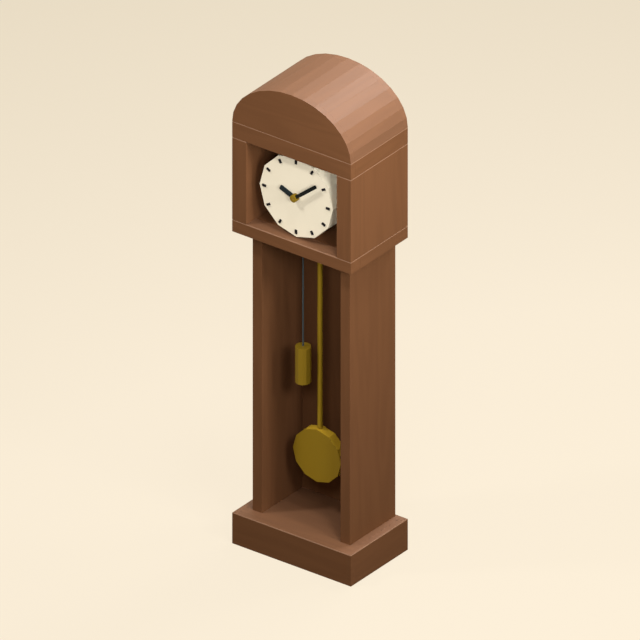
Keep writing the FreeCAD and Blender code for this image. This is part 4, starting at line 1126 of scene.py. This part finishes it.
@dataclass
class LineWeight:
    """The driving weight, the line that it hangs on and the line's turns on the barrel."""

    sides: int = 12
    rounding: float = 1.2 * MM
    line_diameter: float = 6.0 * MM
    strands: int = 3
    strand_fullness: float = 1.15
    lay: float = 20.0 * MM
    ring_steps: int = 10
    steps_per_lay: int = 14
    turns: int = 3
    turn_pitch: float = 6.1 * MM
    steps_per_turn: int = 48

    def build(self) -> None:
        """Build the weight's shell, the hanging line and its turns."""
        self.build_weight()
        self.build_line()
        self.build_turns()

    def build_weight(self) -> None:
        """Build the twelve-sided shell with eased rims."""
        low, high = node_box("weight_shell")
        radius = (high.x - low.x) / 2
        middle = Vector(((low.x + high.x) / 2, (low.y + high.y) / 2, low.z))
        step = FULL_TURN / self.sides
        corners = [
            middle + Vector((radius * math.cos(index * step), radius * math.sin(index * step), 0.0))
            for index in range(self.sides)
        ]
        form = Form()
        part = form.part(BRASS)
        part.prism(corners, Vector((0.0, 0.0, high.z - low.z)))
        part.ease(part.sharp(60.0), self.rounding, 3)
        part.done()
        form.piece("weight_shell_case", "weight", "polished_brass", ["weight_shell"])

    def build_line(self) -> None:
        """Build the taut line of three strands, from the barrel down to the weight."""
        low, high = node_box("weight_line")
        top = Vector(((low.x + high.x) / 2, (low.y + high.y) / 2, high.z))
        length = high.z - low.z
        turns = length / self.lay
        steps = round(turns * self.steps_per_lay)
        touching = self.line_diameter / 2 / (1 + 1 / math.sin(math.pi / self.strands))
        strand_radius = touching * self.strand_fullness
        offset = self.line_diameter / 2 - strand_radius
        form = Form()
        for strand in range(self.strands):
            angle = FULL_TURN * strand / self.strands
            out = Vector((math.cos(angle), math.sin(angle), 0.0)) * offset
            part = form.part(CORD)
            ring = bmesh.ops.create_circle(
                form.bm, cap_ends=True, radius=strand_radius, segments=self.ring_steps,
                matrix=Matrix.Translation(top + out),
            )["verts"]
            first = list({face: None for vert in ring for face in vert.link_faces})
            bmesh.ops.spin(
                form.bm, geom=first, cent=top, axis=Axis.Z.vector, dvec=Vector((0.0, 0.0, -length / steps)),
                angle=turns * FULL_TURN, steps=steps,
            )
            part.done()
        line = form.piece("weight_line_cord", "", "line_fibre", ["weight_line"], smooth=60.0)
        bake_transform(line)

    def build_turns(self) -> None:
        """Build the turns of line that lie on the barrel."""
        line_low, line_high = node_box("weight_line")
        drum_low, drum_high = node_box("line_winding")
        centre = Vector((0.0, (line_low.y + line_high.y) / 2, (drum_low.z + drum_high.z) / 2))
        reach = -(line_low.x + line_high.x) / 2
        start = centre - Vector((reach, 0.0, 0.0))
        form = Form()
        part = form.part(CORD)
        ring = bmesh.ops.create_circle(
            form.bm, cap_ends=True, radius=self.line_diameter / 2, segments=self.ring_steps,
            matrix=Matrix.Translation(start),
        )["verts"]
        first = list({face: None for vert in ring for face in vert.link_faces})
        steps = self.turns * self.steps_per_turn
        bmesh.ops.spin(
            form.bm, geom=first, cent=centre, axis=Axis.Y.vector,
            dvec=Vector((0.0, -self.turn_pitch / self.steps_per_turn, 0.0)),
            angle=self.turns * FULL_TURN, steps=steps,
        )
        part.done()
        form.piece("line_turns", "barrel_set", "line_fibre", ["line_winding"], smooth=60.0)


class KeptNodes:
    """The frame's nodes whose shapes are shown as they are."""

    def dress(self) -> None:
        """Give every node that still shows the finish of its slot."""
        for entry in frame["record"]["subparts"]:
            name = entry["node"]
            node = frame["nodes"][name]
            if node.hide_render:
                continue
            finish = SLOT_FINISH[entry["material_slot"]]
            if name in UPRIGHT_NODES and finish is WOOD_X:
                finish = WOOD_Z
            finish = NODE_FINISH.get(name, finish)
            node.data.materials.clear()
            node.data.materials.append(FINISHES.material(finish))
            log.info("%s: kept, %s", name, finish.name)


def way_out(azimuth: float, elevation: float) -> Vector:
    """The direction from the clock to a place round it.

    Args:
        azimuth: How far it lies round to the right of straight in front, in degrees.
        elevation: How high it stands, in degrees.

    Returns:
        The direction, one long.
    """
    around, up = math.radians(azimuth), math.radians(elevation)
    return Vector((math.sin(around) * math.cos(up), -math.cos(around) * math.cos(up), math.sin(up)))


@dataclass(frozen=True)
class Lamp:
    """One soft round lamp that looks at the hood."""

    name: str
    azimuth: float
    elevation: float
    power: float
    distance: float = 3.0
    size: float = 0.7
    target: tuple[float, float, float] = (0.0, 0.0, 1.3)

    def build(self) -> None:
        """Hang the lamp and point it at its target."""
        data = bpy.data.lights.new(self.name, "AREA")
        data.shape = "DISK"
        data.size = self.size
        data.energy = self.power
        lamp = bpy.data.objects.new(self.name, data)
        out = way_out(self.azimuth, self.elevation)
        lamp.location = Vector(self.target) + out * self.distance
        lamp.rotation_euler = (-out).to_track_quat("-Z", "Y").to_euler()
        bpy.context.scene.collection.objects.link(lamp)


@dataclass
class Studio:
    """The pale floor, the lamps and the camera."""

    floor_radius: float = 40.0
    near_tone: Colour = screen_colour(249, 236, 214)
    far_tone: Colour = screen_colour(236, 223, 199)
    unseen_tone: Colour = screen_colour(22, 19, 16)
    painted_light_centre: tuple[float, float, float] = (1.44, -0.12, 0.0)
    azimuth: float = 36.87
    elevation: float = 29.25
    view_height: float = 2.155
    look_at: tuple[float, float, float] = (0.0, 0.0, 0.874)
    distance: float = 6.0
    shadow_share: float = 0.05
    glow: float = 0.92
    sky_strength: float = 0.307
    lamps: tuple[Lamp, ...] = (
        Lamp("low_right_lamp", 80.0, 25.0, 66.0),
        Lamp("low_corner_lamp", 55.0, 25.0, 44.6),
        Lamp("low_front_lamp", 30.0, 25.0, 35.2),
        Lamp("left_lamp", -45.0, 50.0, 241.0, 7.0, 0.8),
        Lamp("high_lamp", 55.0, 72.0, 163.0, 7.0, 1.0),
        Lamp("back_lamp", 180.0, 50.0, 78.0),
        Lamp("back_right_lamp", 150.0, 50.0, 46.9),
    )

    def build(self) -> None:
        """Build the floor, the sky, the lamps and the camera."""
        self.build_floor()
        self.build_sky()
        for lamp in self.lamps:
            lamp.build()
        self.build_camera()

    def build_floor(self) -> None:
        """Lay the floor, whose own colour the camera sees, brighter towards a point beside the clock as a
        painted pool of light, with the clock's faint shadow on it.
        """
        made = Surface("floor_paper")
        place = made.node("TexCoord").outputs["Object"]
        # The floor's tone fades from near_tone to far_tone with distance from a point beside the clock: a
        # painted pool of light.
        away = made.node("VectorMath", {0: place, 1: self.painted_light_centre}, operation="DISTANCE").outputs["Value"]
        tone = made.mixed(made.ranged(away, 2.6, 5.4, 0.0, 1.0), self.near_tone, self.far_tone)
        glow = made.node("Emission", {"Color": tone, "Strength": self.glow})
        unseen = made.node("BsdfDiffuse", {"Color": self.unseen_tone})
        faint = made.node("BsdfDiffuse", {"Color": made.mixed(self.shadow_share, (0.0, 0.0, 0.0), tone)})
        seen = made.node("AddShader", {0: glow.outputs[0], 1: faint.outputs[0]})
        path = made.node("LightPath").outputs
        direct = made.math("MAXIMUM", path["Is Camera Ray"], path["Is Glossy Ray"])
        direct = made.math("MAXIMUM", direct, path["Is Transmission Ray"])
        either = made.node("MixShader", {0: direct, 1: unseen.outputs[0], 2: seen.outputs[0]})
        made.feed(made.tree.nodes["Material Output"], "Surface", either.outputs[0])
        mesh = bpy.data.meshes.new("floor")
        form = bmesh.new()
        bmesh.ops.create_circle(form, cap_ends=True, radius=self.floor_radius, segments=96)
        form.to_mesh(mesh)
        form.free()
        mesh.materials.append(made.material)
        floor = bpy.data.objects.new("floor", mesh)
        bpy.context.scene.collection.objects.link(floor)

    def build_sky(self) -> None:
        """Fill the room with a soft even light."""
        world = bpy.data.worlds.new("room")
        world.use_nodes = True
        tree = world.node_tree
        back = tree.nodes["Background"]
        back.inputs["Color"].default_value = (*self.near_tone, 1.0)
        back.inputs["Strength"].default_value = self.sky_strength
        seen = tree.nodes.new("ShaderNodeBackground")
        seen.inputs["Color"].default_value = (*self.far_tone, 1.0)
        path = tree.nodes.new("ShaderNodeLightPath")
        either = tree.nodes.new("ShaderNodeMixShader")
        unlit = tree.nodes.new("ShaderNodeMath")
        unlit.operation = "MAXIMUM"
        tree.links.new(path.outputs["Is Camera Ray"], unlit.inputs[0])
        tree.links.new(path.outputs["Is Glossy Ray"], unlit.inputs[1])
        through = tree.nodes.new("ShaderNodeMath")
        through.operation = "MAXIMUM"
        tree.links.new(unlit.outputs[0], through.inputs[0])
        tree.links.new(path.outputs["Is Transmission Ray"], through.inputs[1])
        tree.links.new(through.outputs[0], either.inputs[0])
        tree.links.new(back.outputs[0], either.inputs[1])
        tree.links.new(seen.outputs[0], either.inputs[2])
        tree.links.new(either.outputs[0], tree.nodes["World Output"].inputs["Surface"])
        bpy.context.scene.world = world

    def build_camera(self) -> None:
        """Set the camera to the photograph's angle."""
        back = way_out(self.azimuth, self.elevation)
        data = bpy.data.cameras.new("camera")
        data.type = "ORTHO"
        data.ortho_scale = self.view_height
        camera = bpy.data.objects.new("camera", data)
        camera.location = Vector(self.look_at) + back * self.distance
        camera.rotation_euler = (-back).to_track_quat("-Z", "Y").to_euler()
        bpy.context.scene.collection.objects.link(camera)
        bpy.context.scene.camera = camera


def main() -> None:
    """Build the clock piece by piece, then the studio round it."""
    logging.basicConfig(level=logging.INFO, format="%(message)s")
    bpy.context.scene.view_settings.view_transform = "Standard"
    studio = Studio()
    studio.build_camera()
    Plinth().build()
    Trunk().build()
    Hood().build()
    dial = Dial()
    dial.build()
    Hands().build(dial.centre)
    Collet("hour_collet", "hour", 8.0 * MM).build(dial.centre)
    Collet("minute_collet", "centre", 4.0 * MM).build(dial.centre)
    Pendulum().build()
    LineWeight().build()
    KeptNodes().dress()
    studio.build_floor()
    studio.build_sky()
    for lamp in studio.lamps:
        lamp.build()


if __name__ == "__main__":
    main()
